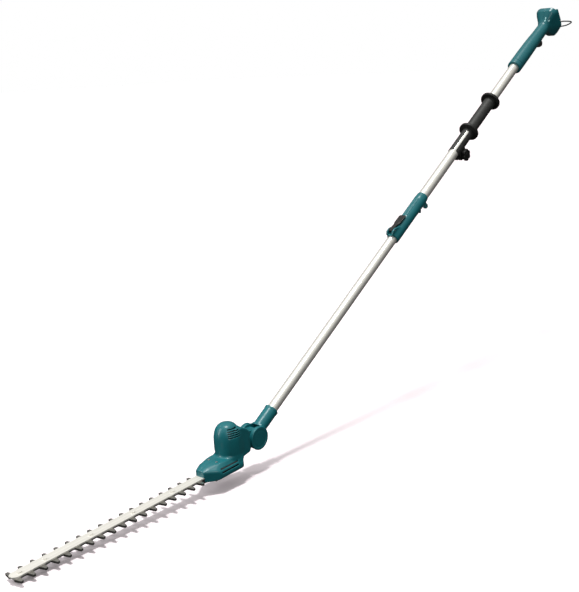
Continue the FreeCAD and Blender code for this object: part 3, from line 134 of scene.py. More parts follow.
# ------------------------------------------------------------------ meshes from fields
def surface_net(values, low, step):
    """Vertices and quads of the zero surface of a sampled field."""
    shape = [n - 1 for n in values.shape]
    total = np.zeros(shape + [3], np.float32)
    count = np.zeros(shape, np.float32)
    crossings = []
    for axis in range(3):
        near = np.moveaxis(values, axis, 0)[:-1]
        far = np.moveaxis(values, axis, 0)[1:]
        cross = (near < 0) != (far < 0)
        share = np.where(cross, near / np.where(cross, near - far, 1), 0)
        cross = np.moveaxis(cross, 0, axis)
        share = np.moveaxis(share, 0, axis)
        crossings.append((cross, np.moveaxis(near < 0, 0, axis)))
        others = [other for other in range(3) if other != axis]
        for first in (0, 1):
            for second in (0, 1):
                window = [slice(None)] * 3
                window[others[0]] = slice(first, first + shape[others[0]])
                window[others[1]] = slice(second, second + shape[others[1]])
                hit = cross[tuple(window)]
                count += hit
                total[..., axis] += share[tuple(window)]
                total[..., others[0]] += hit * first
                total[..., others[1]] += hit * second
    active = count > 0
    index = np.full(shape, -1, np.int64)
    index[active] = np.arange(active.sum())
    cells = np.argwhere(active)
    points = low + step * (cells + total[active] / count[active][:, None])
    quads = []
    for axis in range(3):
        cross, inside = crossings[axis]
        u, v = (axis + 1) % 3, (axis + 2) % 3
        where = np.argwhere(cross)
        keep = (where[:, u] > 0) & (where[:, v] > 0)
        keep &= (where[:, u] < shape[u]) & (where[:, v] < shape[v])
        where = where[keep]
        ring = []
        for du, dv in ((-1, -1), (0, -1), (0, 0), (-1, 0)):
            cell = where.copy()
            cell[:, u] += du
            cell[:, v] += dv
            ring.append(index[tuple(cell.T)])
        ring = np.stack(ring, 1)
        flip = ~inside[tuple(where.T)]
        ring[flip] = ring[flip][:, ::-1]
        quads.append(ring)
    return points, np.concatenate(quads)


def settle(points, field, step):
    """Moves the vertices onto the surface along the field's gradient."""
    for _ in range(2):
        x, y, z = points.T
        here = field(x, y, z)
        reach = step * 0.25
        slope = np.stack([
            field(x + reach, y, z) - field(x - reach, y, z),
            field(x, y + reach, z) - field(x, y - reach, z),
            field(x, y, z + reach) - field(x, y, z - reach),
        ], 1) / (2 * reach)
        size = np.maximum((slope ** 2).sum(1), 0.25)
        move = slope * (here / size)[:, None]
        length = np.linalg.norm(move, axis=1)
        limit = np.minimum(1, 0.5 * step / np.maximum(length, 1e-9))
        points = points - move * limit[:, None]
    return points


def mesh_object(name, points, faces, placing):
    mesh = bpy.data.meshes.new(name)
    mesh.from_pydata([placing @ Vector(p) for p in points], [], [list(map(int, f)) for f in faces])
    mesh.update()
    piece = bpy.data.objects.new(name, mesh)
    bpy.context.scene.collection.objects.link(piece)
    return piece


def field_piece(name, field, low, high, step, placing, material):
    """A closed, smooth-shaded mesh of where the field is negative."""
    low = np.array(low, float) - 1.5 * step
    high = np.array(high, float) + 1.5 * step
    steps = [np.arange(a, b + step, step, dtype=np.float32) for a, b in zip(low, high)]
    x, y, z = np.meshgrid(*steps, indexing="ij")
    points, faces = surface_net(field(x, y, z).astype(np.float32), low, step)
    points = settle(points, field, step)
    piece = mesh_object(name, points.tolist(), faces.tolist(), placing)
    for polygon in piece.data.polygons:
        polygon.use_smooth = True
    piece.data.materials.append(material)
    return piece


# ------------------------------------------------------------------ materials
def material_nodes(name):
    material = bpy.data.materials.new(name)
    material.use_nodes = True
    tree = material.node_tree
    shader = tree.nodes["Principled BSDF"]
    place = tree.nodes.new("ShaderNodeTexCoord").outputs["Object"]
    return material, tree, shader, place


def noise(tree, place, grain_m, detail, stretch=None):
    """Noise whose grain has that size in metres; stretch squeezes it along the axes."""
    if stretch is not None:
        turn = tree.nodes.new("ShaderNodeMapping")
        turn.inputs["Rotation"].default_value = stretch[0]
        turn.inputs["Scale"].default_value = stretch[1]
        tree.links.new(place, turn.inputs["Vector"])
        place = turn.outputs["Vector"]
    texture = tree.nodes.new("ShaderNodeTexNoise")
    texture.inputs["Scale"].default_value = 1 / grain_m
    texture.inputs["Detail"].default_value = detail
    tree.links.new(place, texture.inputs["Vector"])
    return texture.outputs["Fac"]


def spread(tree, value, low, high, from_low=0.3, from_high=0.7):
    """Maps a texture's middle range onto low..high."""
    node = tree.nodes.new("ShaderNodeMapRange")
    node.inputs["From Min"].default_value = from_low
    node.inputs["From Max"].default_value = from_high
    node.inputs["To Min"].default_value = low
    node.inputs["To Max"].default_value = high
    tree.links.new(value, node.inputs["Value"])
    return node.outputs["Result"]


def arithmetic(tree, operation, first, second):
    node = tree.nodes.new("ShaderNodeMath")
    node.operation = operation
    for socket, value in zip(node.inputs, (first, second)):
        if isinstance(value, (int, float)):
            socket.default_value = value
        else:
            tree.links.new(value, socket)
    return node.outputs["Value"]


def mixed_colour(tree, share, first, second):
    node = tree.nodes.new("ShaderNodeMix")
    node.data_type = "RGBA"
    tree.links.new(share, node.inputs["Factor"])
    for socket, value in ((node.inputs[6], first), (node.inputs[7], second)):
        if isinstance(value, tuple):
            socket.default_value = (*value, 1)
        else:
            tree.links.new(value, socket)
    return node.outputs[2]


def bump(tree, shader, heights):
    """Chains (height, depth in metres) pairs into the normal."""
    normal = None
    for height, depth in heights:
        node = tree.nodes.new("ShaderNodeBump")
        node.inputs["Strength"].default_value = 1.0
        node.inputs["Distance"].default_value = depth
        tree.links.new(height, node.inputs["Height"])
        if normal is not None:
            tree.links.new(normal, node.inputs["Normal"])
        normal = node.outputs["Normal"]
    tree.links.new(normal, shader.inputs["Normal"])


def worn_edges(tree, start, end):
    """Share of wear: from the mesh's sharper outward edges."""
    geometry = tree.nodes.new("ShaderNodeNewGeometry")
    return spread(tree, geometry.outputs["Pointiness"], 0, 1, start, end)


def moulded_plastic(name, colour, dull, worn, low_rough, high_rough, grain_depth, coat):
    """Moulded plastic: fine grain, faint flow clouds, handling marks and rubbed edges."""
    material, tree, shader, place = material_nodes(name)
    clouds = noise(tree, place, 0.030, 4)
    handling = noise(tree, place, 0.006, 6)
    grain = noise(tree, place, 0.0005, 2)
    waves = noise(tree, place, 0.014, 2)
    tint = mixed_colour(tree, spread(tree, clouds, 0, 1), colour, dull)
    wear = arithmetic(tree, "MULTIPLY", worn_edges(tree, 0.53, 0.62), spread(tree, handling, 0.2, 0.9))
    tree.links.new(mixed_colour(tree, wear, tint, worn), shader.inputs["Base Color"])
    rough = arithmetic(tree, "ADD", spread(tree, handling, low_rough, high_rough),
                       spread(tree, grain, -0.03, 0.03))
    tree.links.new(rough, shader.inputs["Roughness"])
    shader.inputs["Coat Weight"].default_value = coat
    shader.inputs["Coat Roughness"].default_value = 0.2
    shader.inputs["Specular IOR Level"].default_value = 0.4
    bump(tree, shader, ((waves, 0.00004), (grain, grain_depth)))
    return material


def satin_metal(name, colour, dull, low_rough, high_rough, metallic, direction, scratch_depth):
    """Drawn or ground metal: streaks along one direction, dull patches, rubbed edges."""
    material, tree, shader, place = material_nodes(name)
    streaks = noise(tree, place, 0.0009, 3, direction)
    patches = noise(tree, place, 0.020, 5)
    specks = noise(tree, place, 0.0012, 4)
    share = arithmetic(tree, "ADD", spread(tree, patches, 0.0, 0.6), spread(tree, streaks, 0.0, 0.4))
    wear = worn_edges(tree, 0.55, 0.66)
    tint = mixed_colour(tree, share, colour, dull)
    bright = tuple(min(1.0, value * 1.15) for value in colour)
    tree.links.new(mixed_colour(tree, wear, tint, bright), shader.inputs["Base Color"])
    rough = arithmetic(tree, "ADD", spread(tree, patches, low_rough, high_rough),
                       spread(tree, specks, -0.04, 0.04))
    tree.links.new(rough, shader.inputs["Roughness"])
    shader.inputs["Metallic"].default_value = metallic
    bump(tree, shader, ((streaks, scratch_depth), (specks, 0.00001)))
    return material


ALONG_X = ((0, 0, 0), (0.02, 1, 1))
ALONG_POLE = ((0, math.radians(-30), 0), (0.02, 1, 1))
ISOTROPIC = ((0, 0, 0), (1, 1, 1))

teal = moulded_plastic("teal_plastic", (0.006, 0.140, 0.160), (0.006, 0.120, 0.140), (0.06, 0.30, 0.32),
                       0.30, 0.42, 0.000010, 0.12)
black_rubber = moulded_plastic("black_rubber", (0.006, 0.006, 0.0055), (0.010, 0.010, 0.009),
                               (0.04, 0.04, 0.038), 0.50, 0.66, 0.00004, 0.0)
black_plastic = moulded_plastic("black_plastic", (0.007, 0.007, 0.007), (0.012, 0.012, 0.011),
                                (0.05, 0.05, 0.05), 0.34, 0.48, 0.00002, 0.0)
wire_black = moulded_plastic("wire_black", (0.004, 0.004, 0.004), (0.008, 0.006, 0.006), (0.04, 0.03, 0.03),
                             0.34, 0.46, 0.00001, 0.0)
tube_metal = satin_metal("tube_metal", (0.80, 0.785, 0.735), (0.72, 0.70, 0.65), 0.25, 0.34, 0.60,
                         ALONG_POLE, 0.000004)
bar_metal = satin_metal("bar_metal", (0.74, 0.72, 0.67), (0.64, 0.62, 0.575), 0.32, 0.44, 0.40,
                        ALONG_X, 0.00001)
blade_metal = satin_metal("blade_metal", (0.46, 0.45, 0.42), (0.34, 0.33, 0.31), 0.22, 0.36, 1.0,
                          ALONG_X, 0.000012)
bright_steel = satin_metal("bright_steel", (0.62, 0.62, 0.62), (0.48, 0.48, 0.47), 0.25, 0.40, 1.0,
                           ISOTROPIC, 0.00001)
dark_steel = satin_metal("dark_steel", (0.10, 0.10, 0.10), (0.06, 0.06, 0.06), 0.35, 0.50, 0.8,
                         ISOTROPIC, 0.00001)
cast_alloy = satin_metal("cast_alloy", (0.46, 0.46, 0.46), (0.38, 0.38, 0.38), 0.45, 0.60, 0.9,
                         ISOTROPIC, 0.00006)
brass = satin_metal("brass", (0.70, 0.52, 0.24), (0.56, 0.42, 0.20), 0.28, 0.42, 1.0,
                    ISOTROPIC, 0.00001)
board_green = moulded_plastic("board_green", (0.01, 0.11, 0.05), (0.01, 0.09, 0.04), (0.2, 0.3, 0.2),
                              0.25, 0.40, 0.00001, 0.4)
lamp = moulded_plastic("lamp_lens", (0.50, 0.86, 0.86), (0.42, 0.78, 0.80), (0.8, 0.95, 0.95),
                       0.14, 0.22, 0.00001, 0.6)

SLOT_FINISH = {
    "teal_plastic": teal,
    "black_rubber": black_rubber,
    "black_plastic": black_plastic,
    "tube_alloy": tube_metal,
    "bar_steel": bar_metal,
    "blade_steel": blade_metal,
    "bright_steel": bright_steel,
    "black_wire": wire_black,
    "cast_alloy": cast_alloy,
    "dark_magnet": dark_steel,
    "bush_brass": brass,
    "board_green": board_green,
    "lens_clear": lamp,
}
for subpart in frame["record"]["subparts"]:
    node = frame["nodes"][subpart["node"]]
    node.data.materials.clear()
    node.data.materials.append(SLOT_FINISH[subpart["material_slot"]])
frame["nodes"]["blade_bolts"].data.materials[0] = bar_metal


# ------------------------------------------------------------------ pieces
def local_box(placing, *nodes):
    """Lowest and highest corner of CAD nodes in a drawing frame, in millimetres."""
    back = placing.inverted()
    points = np.array([back @ vertex.co for node in nodes for vertex in frame["nodes"][node].data.vertices])
    return points.min(0), points.max(0)


def stand_for(piece, body, slot, *nodes):
    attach(piece, body)
    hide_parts(*nodes)


# ---- cutter head
shell_low, shell_high = local_box(HEAD, "head_shell_left", "head_shell_right")
can_low, can_high = local_box(HEAD, "motor_can")
cover_low, cover_high = local_box(HEAD, "bottom_cover")
guard_low, guard_high = local_box(HEAD, "nose_guard")
nose_screw_low, nose_screw_high = local_box(HEAD, "nose_screws")
MOTOR_X = (can_low[0] + can_high[0]) / 2
NOSE_X = shell_high[0]
HEAD_TOP = shell_high[2]
BASE_BOTTOM = shell_low[2]
BASE_HALF = shell_high[1]
BASE_TOP = BASE_BOTTOM + 35.0
BASE_REAR = MOTOR_X - 18.0
DOME_R = 31.0
DOME_CROWN_R = 48.0
DOME_CORNER_R = 20.0
HEAD_WALL = 2.5
TONGUE_R = 20.0
TONGUE_HALF = 12.6
SIDE_SLOTS = (BASE_TOP - 12.0, BASE_TOP - 19.5)
VENT_LEVELS = (34.0, 38.5, 43.0, 47.5, 52.0)
VENT_AZIMUTH = math.radians(82)
VENT_HALF = 17.0


def dome_field(x, y, z):
    radial = np.hypot(x - MOTOR_X, y)
    wall = radial - DOME_R + 0.012 * z
    crown = np.hypot(radial, z - HEAD_TOP + DOME_CROWN_R) - DOME_CROWN_R
    return meet(meet(wall, crown, DOME_CORNER_R - 2), BASE_TOP - 6 - z, 1)


def arm_field(x, y, z):
    plan = facets(x, np.abs(y), [(28.0, -5.0), (MOTOR_X, -5.0), (MOTOR_X, 30.0), (58.0, 28.0), (36.0, 25.0),
                                 (28.0, 20.5)], 2.5)
    side = facets(x, z, [(28.0, -18.0), (44.0, -21.0), (60.0, -22.0), (MOTOR_X, -22.0), (MOTOR_X, 50.0),
                         (60.0, 50.0), (44.0, 43.0), (28.0, 30.0)], 4)
    return meet(plan, side, 5)


def base_field(x, y, z):
    across = np.abs(y)
    plan = facets(x, across, [(BASE_REAR, -5.0), (NOSE_X, -5.0), (NOSE_X, 12.5), (162.0, 20.0), (150.0, 28.0),
                              (138.0, BASE_HALF), (BASE_REAR + 9, BASE_HALF), (BASE_REAR, 24.0)], 2.5)
    side = facets(x, z, [(BASE_REAR + 10, BASE_BOTTOM), (NOSE_X - 5, BASE_BOTTOM), (NOSE_X, BASE_BOTTOM + 3),
                         (NOSE_X, BASE_TOP - 8), (158.0, BASE_TOP - 3), (140.0, BASE_TOP),
                         (BASE_REAR + 11, BASE_TOP), (BASE_REAR, BASE_TOP - 12),
                         (BASE_REAR, BASE_BOTTOM + 8)], 2)
    section = facets(across, z, [(-5.0, BASE_BOTTOM), (BASE_HALF - 6, BASE_BOTTOM),
                                 (BASE_HALF, BASE_BOTTOM + 7.5), (34.0, BASE_TOP - 16),
                                 (24.0, BASE_TOP), (-5.0, BASE_TOP)], 3)
    bow = 0.262 * (x - 120.0) + 0.528 * (across - 24.0) + 0.808 * (z - BASE_TOP)
    return meet(meet(meet(plan, side, 2.5), section, 3), bow, 4)


def tongue_field(x, y, z):
    neck = facets(x, z, [(0.0, -19.5), (32.0, -17.0), (32.0, 27.0), (0.0, 19.5)], 1)
    barrel = np.hypot(x, z) - TONGUE_R
    return meet(np.minimum(neck, barrel), np.abs(y) - TONGUE_HALF, 1)


def vent_field(x, y, z):
    across = np.abs(y)
    radial = np.hypot(x - MOTOR_X, across)
    arc = (np.arctan2(across, x - MOTOR_X) - VENT_AZIMUTH) * DOME_R
    slits = None
    for level in VENT_LEVELS:
        slit = np.maximum(np.abs(z - level - 1.1) - 1.2, np.abs(arc) - VENT_HALF)
        slits = slit if slits is None else np.minimum(slits, slit)
    return np.maximum(slits, 21 - radial)


def head_field(x, y, z):
    casing = join(join(dome_field(x, y, z), arm_field(x, y, z), 7), base_field(x, y, z), 10)
    hollow = casing + HEAD_WALL
    body = join(casing, tongue_field(x, y, z), 2)
    body = np.maximum(body, -hollow)
    for level in SIDE_SLOTS:
        slot_cut = np.hypot(np.maximum(np.abs(x - 110) - 24.4, 0), z - level) - 1.7
        body = carve(body, np.maximum(slot_cut, 20 - np.abs(y)), 0.7)
    body = carve(body, vent_field(x, y, z), 0.6)
    panel = block(x, np.abs(y), z, (78.0, BASE_HALF - 3.0, BASE_TOP - 24.5),
                  (142.0, BASE_HALF + 4, BASE_TOP - 23.9), 0.2)
    body = carve(body, panel, 0.2)
    body = np.maximum(body, -block(x, y, z, cover_low - 0.3, cover_high + (0.3, 0.3, 2.0), 0.2))
    body = np.maximum(body, -block(x, y, z, guard_low - (0.3, 0.2, 1.0), guard_high + (4.0, 0.2, 3.2), 0.2))
    body = np.maximum(body, 4.1 - np.hypot(x, z))
    screw = np.hypot(x - (nose_screw_low[0] + nose_screw_high[0]) / 2, np.abs(y) - nose_screw_high[1] + 2.8)
    sink = np.minimum(np.maximum(screw - 3.1, nose_screw_high[2] - 1.1 - z), screw - 1.6)
    return carve(body, np.maximum(sink, BASE_TOP - 9 - z), 0.5)


def half_of(field, side):
    """One shell of a casing split at the middle plane, with a fine parting gap."""
    return lambda x, y, z: meet(field(x, y, z), 0.12 - side * y, 0.25)


SIDES = (("left", 1), ("right", -1))
for word, side in SIDES:
    name = "head_shell_" + word
    node_low, node_high = local_box(HEAD, name)
    shell = field_piece("cutter_head_" + word, half_of(head_field, side), node_low - 1, node_high + 1,
                        0.85, HEAD, teal)
    stand_for(shell, "head", "teal_plastic", name)


# ---- rear handle
grip_low, grip_high = local_box(POLE, "handle_shell_left", "handle_shell_right")
plate_low, plate_high = local_box(POLE, "rear_plate")
trigger_low, trigger_high = local_box(POLE, "trigger")
tube_low, tube_high = local_box(POLE, "outer_tube")
collar_low, collar_high = local_box(POLE, "handle_collar")
HANDLE_START = -collar_high[0]
HANDLE_REAR = -grip_low[0]
GRIP_STATIONS = (HANDLE_START, 1500.0, 1550.0, 1600.0, 1656.0)
GRIP_RADII = (20.8, 20.5, 19.8, 18.3, 17.6)
GRIP_DROPS = (0.5, 1.2, 1.6, 3.0, 3.8)
CONE_STATIONS = (HANDLE_REAR - 48.0, HANDLE_REAR - 16.0, HANDLE_REAR)
CONE_SECTIONS = (
    ((9.0, -21.0), (14.0, -10.0), (14.0, 5.0), (8.0, 11.0)),
    ((13.0, -53.0), (30.0, -25.0), (30.0, 23.0), (20.0, 35.0)),
    ((13.0, -54.0), (37.0, -27.0), (37.0, 24.0), (22.0, 37.0)),
)
PLATE_SECTION = ((9.0, -48.0), (32.0, -22.0), (32.0, 20.0), (18.0, 32.0))


def handle_field(x, y, z):
    station = -x
    radius = np.interp(station, GRIP_STATIONS, GRIP_RADII)
    drop = np.interp(station, GRIP_STATIONS, GRIP_DROPS)
    grip = meet(np.hypot(y, z + drop) - radius, between(station, HANDLE_START, GRIP_STATIONS[-1]), 1.5)
    corners = []
    for corner in range(4):
        corners.append(tuple(
            np.interp(station, CONE_STATIONS, [section[corner][axis] for section in CONE_SECTIONS])
            for axis in range(2)))
    cone = facets(y, z, symmetric(corners), 5)
    cone = meet(cone, between(station, CONE_STATIONS[0], HANDLE_REAR), 2.5)
    body = join(grip, cone, 8)
    recess = np.maximum(facets(y, z, symmetric(PLATE_SECTION), 0.5), -plate_high[0] - 0.4 - station)
    body = np.maximum(body, -recess)
    window = block(x, y, z, (trigger_low[0] - 3, trigger_low[1] - 0.4, -60.0),
                   (trigger_high[0] + 1, trigger_high[1] + 0.4, -9.0), 1.5)
    body = carve(body, window, 1)
    return np.maximum(body, -(np.hypot(y, z) - tube_high[1] - 0.05 + 60 * (station > -tube_low[0])))


COLLAR_END = -collar_low[0]


def handle_shell_field(x, y, z):
    """The handle behind its front ring, with a fine groove between them."""
    return meet(handle_field(x, y, z), COLLAR_END + 0.5 + x, 0.8)


def handle_ring_field(x, y, z):
    return meet(handle_field(x, y, z), -x - COLLAR_END, 0.8)


for word, side in SIDES:
    name = "handle_shell_" + word
    node_low, node_high = local_box(POLE, name)
    shell = field_piece("rear_handle_" + word, half_of(handle_shell_field, side), node_low - 1, node_high + 1,
                        0.9, POLE, teal)
    stand_for(shell, "handle", "teal_plastic", name)
ring = field_piece("handle_front_ring", handle_ring_field, collar_low - 1, collar_high + 1, 0.7, POLE, teal)
stand_for(ring, "handle", "teal_plastic", "handle_collar")

lens_low, lens_high = local_box(POLE, "light_lenses")
LIGHT_SPOTS = ((9.0, 21.5), (8.5, 17.0), (18.5, 12.5))


def lights_field(x, y, z):
    skin = np.abs(handle_field(x, y, z)) - 0.45
    spots = np.minimum.reduce([np.hypot(y - a, z - b) - 1.9 for a, b in LIGHT_SPOTS])
    return meet(skin, spots, 0.4)


lights = field_piece("battery_lights", lights_field, lens_low - 2, lens_high + 2, 0.3, POLE, lamp)
stand_for(lights, "handle", "lens_clear", "light_lenses")

# ---- telescopic clamp
clamp_low, clamp_high = local_box(POLE, "clamp_shell_left", "clamp_shell_right")
bush_low, bush_high = local_box(POLE, "slide_bush")
inner_low, inner_high = local_box(POLE, "inner_tube")
eye_low, eye_high = local_box(POLE, "strap_eye")
pin_low, pin_high = local_box(POLE, "lever_pin")
KNUCKLE_START = -clamp_high[0]
CLAMP_START = KNUCKLE_START + 4.0
CLAMP_END = -clamp_low[0]
CLAMP_R = 16.6
KNUCKLE_TOP = clamp_high[2]
KNUCKLE_HALF = 11.0
EYE_X = (eye_low[0] + eye_high[0]) / 2
EYE_Z = (eye_low[2] + eye_high[2]) / 2
LUG_STATION = CLAMP_END - 35.0
LUG_DROP = 24.0
LEVER_X = (pin_low[0] + pin_high[0]) / 2
LEVER_Z = (pin_low[2] + pin_high[2]) / 2
PIN_BORE_R = 2.25
BUSH_BORE_R = 14.45
OUTER_BORE_R = 14.05


def clamp_field(x, y, z):
    station = -x
    radius = np.interp(station, (CLAMP_START, CLAMP_START + 16, CLAMP_END - 16, CLAMP_END),
                       (CLAMP_R - 0.4, CLAMP_R, CLAMP_R, CLAMP_R - 1.4))
    radial = np.hypot(y, z)
    body = meet(radial - radius, between(station, CLAMP_START, CLAMP_END), 1.6)
    knuckle = facets(x, z, [(-KNUCKLE_START - 37, 8.0), (-CLAMP_START, 8.0), (-KNUCKLE_START, 15.0),
                            (-KNUCKLE_START, KNUCKLE_TOP - 6), (-KNUCKLE_START - 6, KNUCKLE_TOP),
                            (-KNUCKLE_START - 19, KNUCKLE_TOP), (-KNUCKLE_START - 37, CLAMP_R - 1)], 2)
    knuckle = meet(knuckle, np.abs(y) - KNUCKLE_HALF, 2)
    body = join(body, knuckle, 4)
    eye_neck = block(x, y, z, (EYE_X - 5, -4.0, EYE_Z + 5), (EYE_X + 6, 4.0, -12.0), 1.2)
    lug = np.minimum(block(x, y, z, (-LUG_STATION - 5, -3.0, -LUG_DROP), (-LUG_STATION + 3, 3.0, -12.0), 1),
                     rod(x + LUG_STATION, z + LUG_DROP, y, 3.6, -3.0, 3.0, 0.8))
    body = join(join(body, eye_neck, 4), lug, 3)
    ridge = meet(np.abs(np.abs(y) - 6.5) - 0.8, np.maximum(radial - radius - 0.7, radius - 2 - radial), 0.5)
    ridge = np.maximum(ridge, between(station, CLAMP_START + 78, CLAMP_END - 26))
    body = join(body, np.maximum(ridge, -z), 1)
    slot_cut = block(x, y, z, (-KNUCKLE_START - 45, -6.4, 16.0),
                     (-KNUCKLE_START + 1, 6.4, KNUCKLE_TOP + 9), 0.5)
    slot_cut = np.maximum(slot_cut, np.where(station > KNUCKLE_START + 25, CLAMP_R - radial, FAR_INSIDE))
    body = carve(body, slot_cut, 0.7)
    bore = np.where(station < -bush_high[0], inner_high[1] + 0.3,
                    np.where(station < -tube_high[0], BUSH_BORE_R, OUTER_BORE_R))
    body = np.maximum(body, bore - radial)
    pin_bore = PIN_BORE_R - np.hypot(x - LEVER_X, z - LEVER_Z)
    body = np.maximum(body, np.where(np.abs(y) < 20, pin_bore, FAR_INSIDE))
    return np.maximum(body, 7.05 - np.hypot(x - EYE_X, z - EYE_Z))


for word, side in SIDES:
    name = "clamp_shell_" + word
    node_low, node_high = local_box(POLE, name)
    shell = field_piece("telescope_clamp_" + word, half_of(clamp_field, side), node_low - 1, node_high + 1,
                        0.75, POLE, teal)
    stand_for(shell, "handle", "teal_plastic", name)

lever_low, lever_high = local_box(POLE, "cam_lever")


def lever_field(x, y, z):
    cam = rod(x - LEVER_X, z - LEVER_Z, y, 5.2, -6.0, 6.0, 0.8)
    arm_side = facets(x, z, [(LEVER_X - 36, CLAMP_R + 1.0), (LEVER_X - 22, CLAMP_R + 1.6),
                             (LEVER_X - 4, LEVER_Z - 2.5), (LEVER_X + 2, LEVER_Z + 5.2),
                             (LEVER_X - 20, CLAMP_R + 7.0), (LEVER_X - 36, CLAMP_R + 4.2)], 1.2)
    arm = meet(arm_side, np.abs(y) - 6.0, 1.5)
    pad_side = facets(x, z, [(lever_low[0] + 1, CLAMP_R + 0.8), (LEVER_X - 21, CLAMP_R + 0.8),
                             (LEVER_X - 21, CLAMP_R + 5.2), (lever_low[0] + 3, CLAMP_R + 3.8),
                             (lever_low[0], CLAMP_R + 2.4)], 1)
    pad_plan = facets(x, np.abs(y), [(lever_low[0], -5.0), (LEVER_X - 21, -5.0), (LEVER_X - 21, 6.0),
                                     (LEVER_X - 31, 10.0), (lever_low[0] + 3, 10.0),
                                     (lever_low[0], 7.0)], 1.5)
    lever = join(join(cam, arm, 1.5), meet(pad_side, pad_plan, 1.2), 2)
    for rib in range(5):
        groove = np.hypot(x - lever_low[0] - 5 - 4 * rib, z - CLAMP_R - 5.1) - 1.0
        lever = carve(lever, np.maximum(groove, np.abs(y) - 7), 0.4)
    return np.maximum(lever, PIN_BORE_R - np.hypot(x - LEVER_X, z - LEVER_Z))


lever = field_piece("clamp_lever_arm", lever_field, lever_low - 1, lever_high + 1, 0.45, POLE, black_plastic)
stand_for(lever, "clamp_lever", "black_plastic", "cam_lever")

# ---- head joint
sleeve_low, sleeve_high = local_box(POLE, "pole_sleeve")
SLEEVE_END = -sleeve_low[0]
SLEEVE_R = 16.0
CHEEK_R = sleeve_high[0]


def sleeve_field(x, y, z):
    station = -x
    radial = np.hypot(y, z)
    barrel = meet(radial - SLEEVE_R, between(station, 24.0, SLEEVE_END), 1.4)
    rim = meet(radial - SLEEVE_R - 0.7, between(station, SLEEVE_END - 5, SLEEVE_END), 0.6)
    across = np.abs(y)
    cheek = meet(np.hypot(x, z) - CHEEK_R, across - 20.0, 1)
    yoke_side = facets(x, z, [(-30.0, -12.0), (0.0, -13.0), (0.0, 13.0), (-30.0, 12.0)], 2)
    yoke_plan = facets(x, y, [(-30.0, -14.0), (-20.0, -20.0), (0.0, -20.0), (0.0, 20.0), (-20.0, 20.0),
                              (-30.0, 14.0)], 2)
    body = join(join(join(barrel, rim, 0.5), meet(yoke_side, yoke_plan, 3), 5), cheek, 4)
    gap = np.maximum(across - 13.0, np.minimum(np.hypot(x, z) - CHEEK_R - 1, -24 - x))
    body = np.maximum(body, -gap)
    body = np.maximum(body, np.where(station > -inner_high[0], inner_high[1] + 0.05 - radial, FAR_INSIDE))
    return np.maximum(body, np.where(across > 16, 8.1, 4.0) - np.hypot(x, z))


sleeve = field_piece("pole_end_yoke", sleeve_field, sleeve_low - 1, sleeve_high + 1, 0.7, POLE, teal)
stand_for(sleeve, "lower_pole", "teal_plastic", "pole_sleeve")


def disc_field(side):
    def field(x, y, z):
        out = side * y
        radial = np.hypot(x, z)
        disc = meet(radial - 27.0, between(out, 20.0, 23.5), 1.4)
        dish = meet(radial - 21.5, 22.7 - out, 0.5)
        disc = carve(disc, dish, 0.6)
        centre = meet(radial - 17.0, out - 23.2 + radial * radial * 0.0009, 0.5)
        return join(disc, np.maximum(centre, 20.5 - out), 0.8)
    return field


for word, side in SIDES:
    name = "joint_disc_" + word
    node_low, node_high = local_box(POLE, name)
    disc = field_piece("joint_cap_" + word, disc_field(side), node_low - 1, node_high + 1, 0.45, POLE, teal)
    stand_for(disc, "lower_pole", "teal_plastic", name)

# ---- front grip
knob_low, knob_high = local_box(POLE, "grip_knob")
KNOB_X = (knob_low[0] + knob_high[0]) / 2
KNOB_Z = (knob_low[2] + knob_high[2]) / 2
KNOB_BACK = knob_low[1]
KNOB_FRONT = knob_high[1]


def knob_field(x, y, z):
    a, b = x - KNOB_X, z - KNOB_Z
    radial = np.hypot(a, b)
    angle = np.arctan2(b, a)
    edge_r = 16.3 + 0.7 * np.cos(6 * angle) - 1.4 * np.maximum(0, np.cos(6 * angle + math.pi)) ** 2
    disc = meet((radial - edge_r) * 0.9, between(y, KNOB_BACK + 2.7, KNOB_FRONT), 2.4)
    hub = meet(radial - 8.0, between(y, KNOB_BACK, KNOB_BACK + 4), 0.4)
    knob = join(disc, hub, 1.5)
    knob = carve(knob, meet(radial - 10.5, KNOB_FRONT - 1.0 - y, 0.4), 0.6)
    cap = meet(radial - 6.0, y - KNOB_FRONT + 0.3, 0.6)
    return join(knob, np.maximum(cap, KNOB_FRONT - 3 - y), 0.5)


knob = field_piece("clamp_knob", knob_field, knob_low - 1, knob_high + 1, 0.5, POLE, black_plastic)
stand_for(knob, "grip_knob", "black_plastic", "grip_knob")

# ------------------------------------------------------------------ floor, light and camera
low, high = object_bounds()
FLOOR_TILT = math.radians(3.0)
FLOOR_REACH = 60.0
BACKDROP_TOP = 40.0


def floor_height(x):
    """The tool rests on the tip of its blades; from there the floor falls away backwards."""
    return low.z - 0.004 - (high.x - x) * math.tan(FLOOR_TILT)


def stage_mesh(name, corners, faces):
    mesh = bpy.data.meshes.new(name)
    mesh.from_pydata(corners, [], faces)
    piece = bpy.data.objects.new(name, mesh)
    bpy.context.scene.collection.objects.link(piece)
    return piece


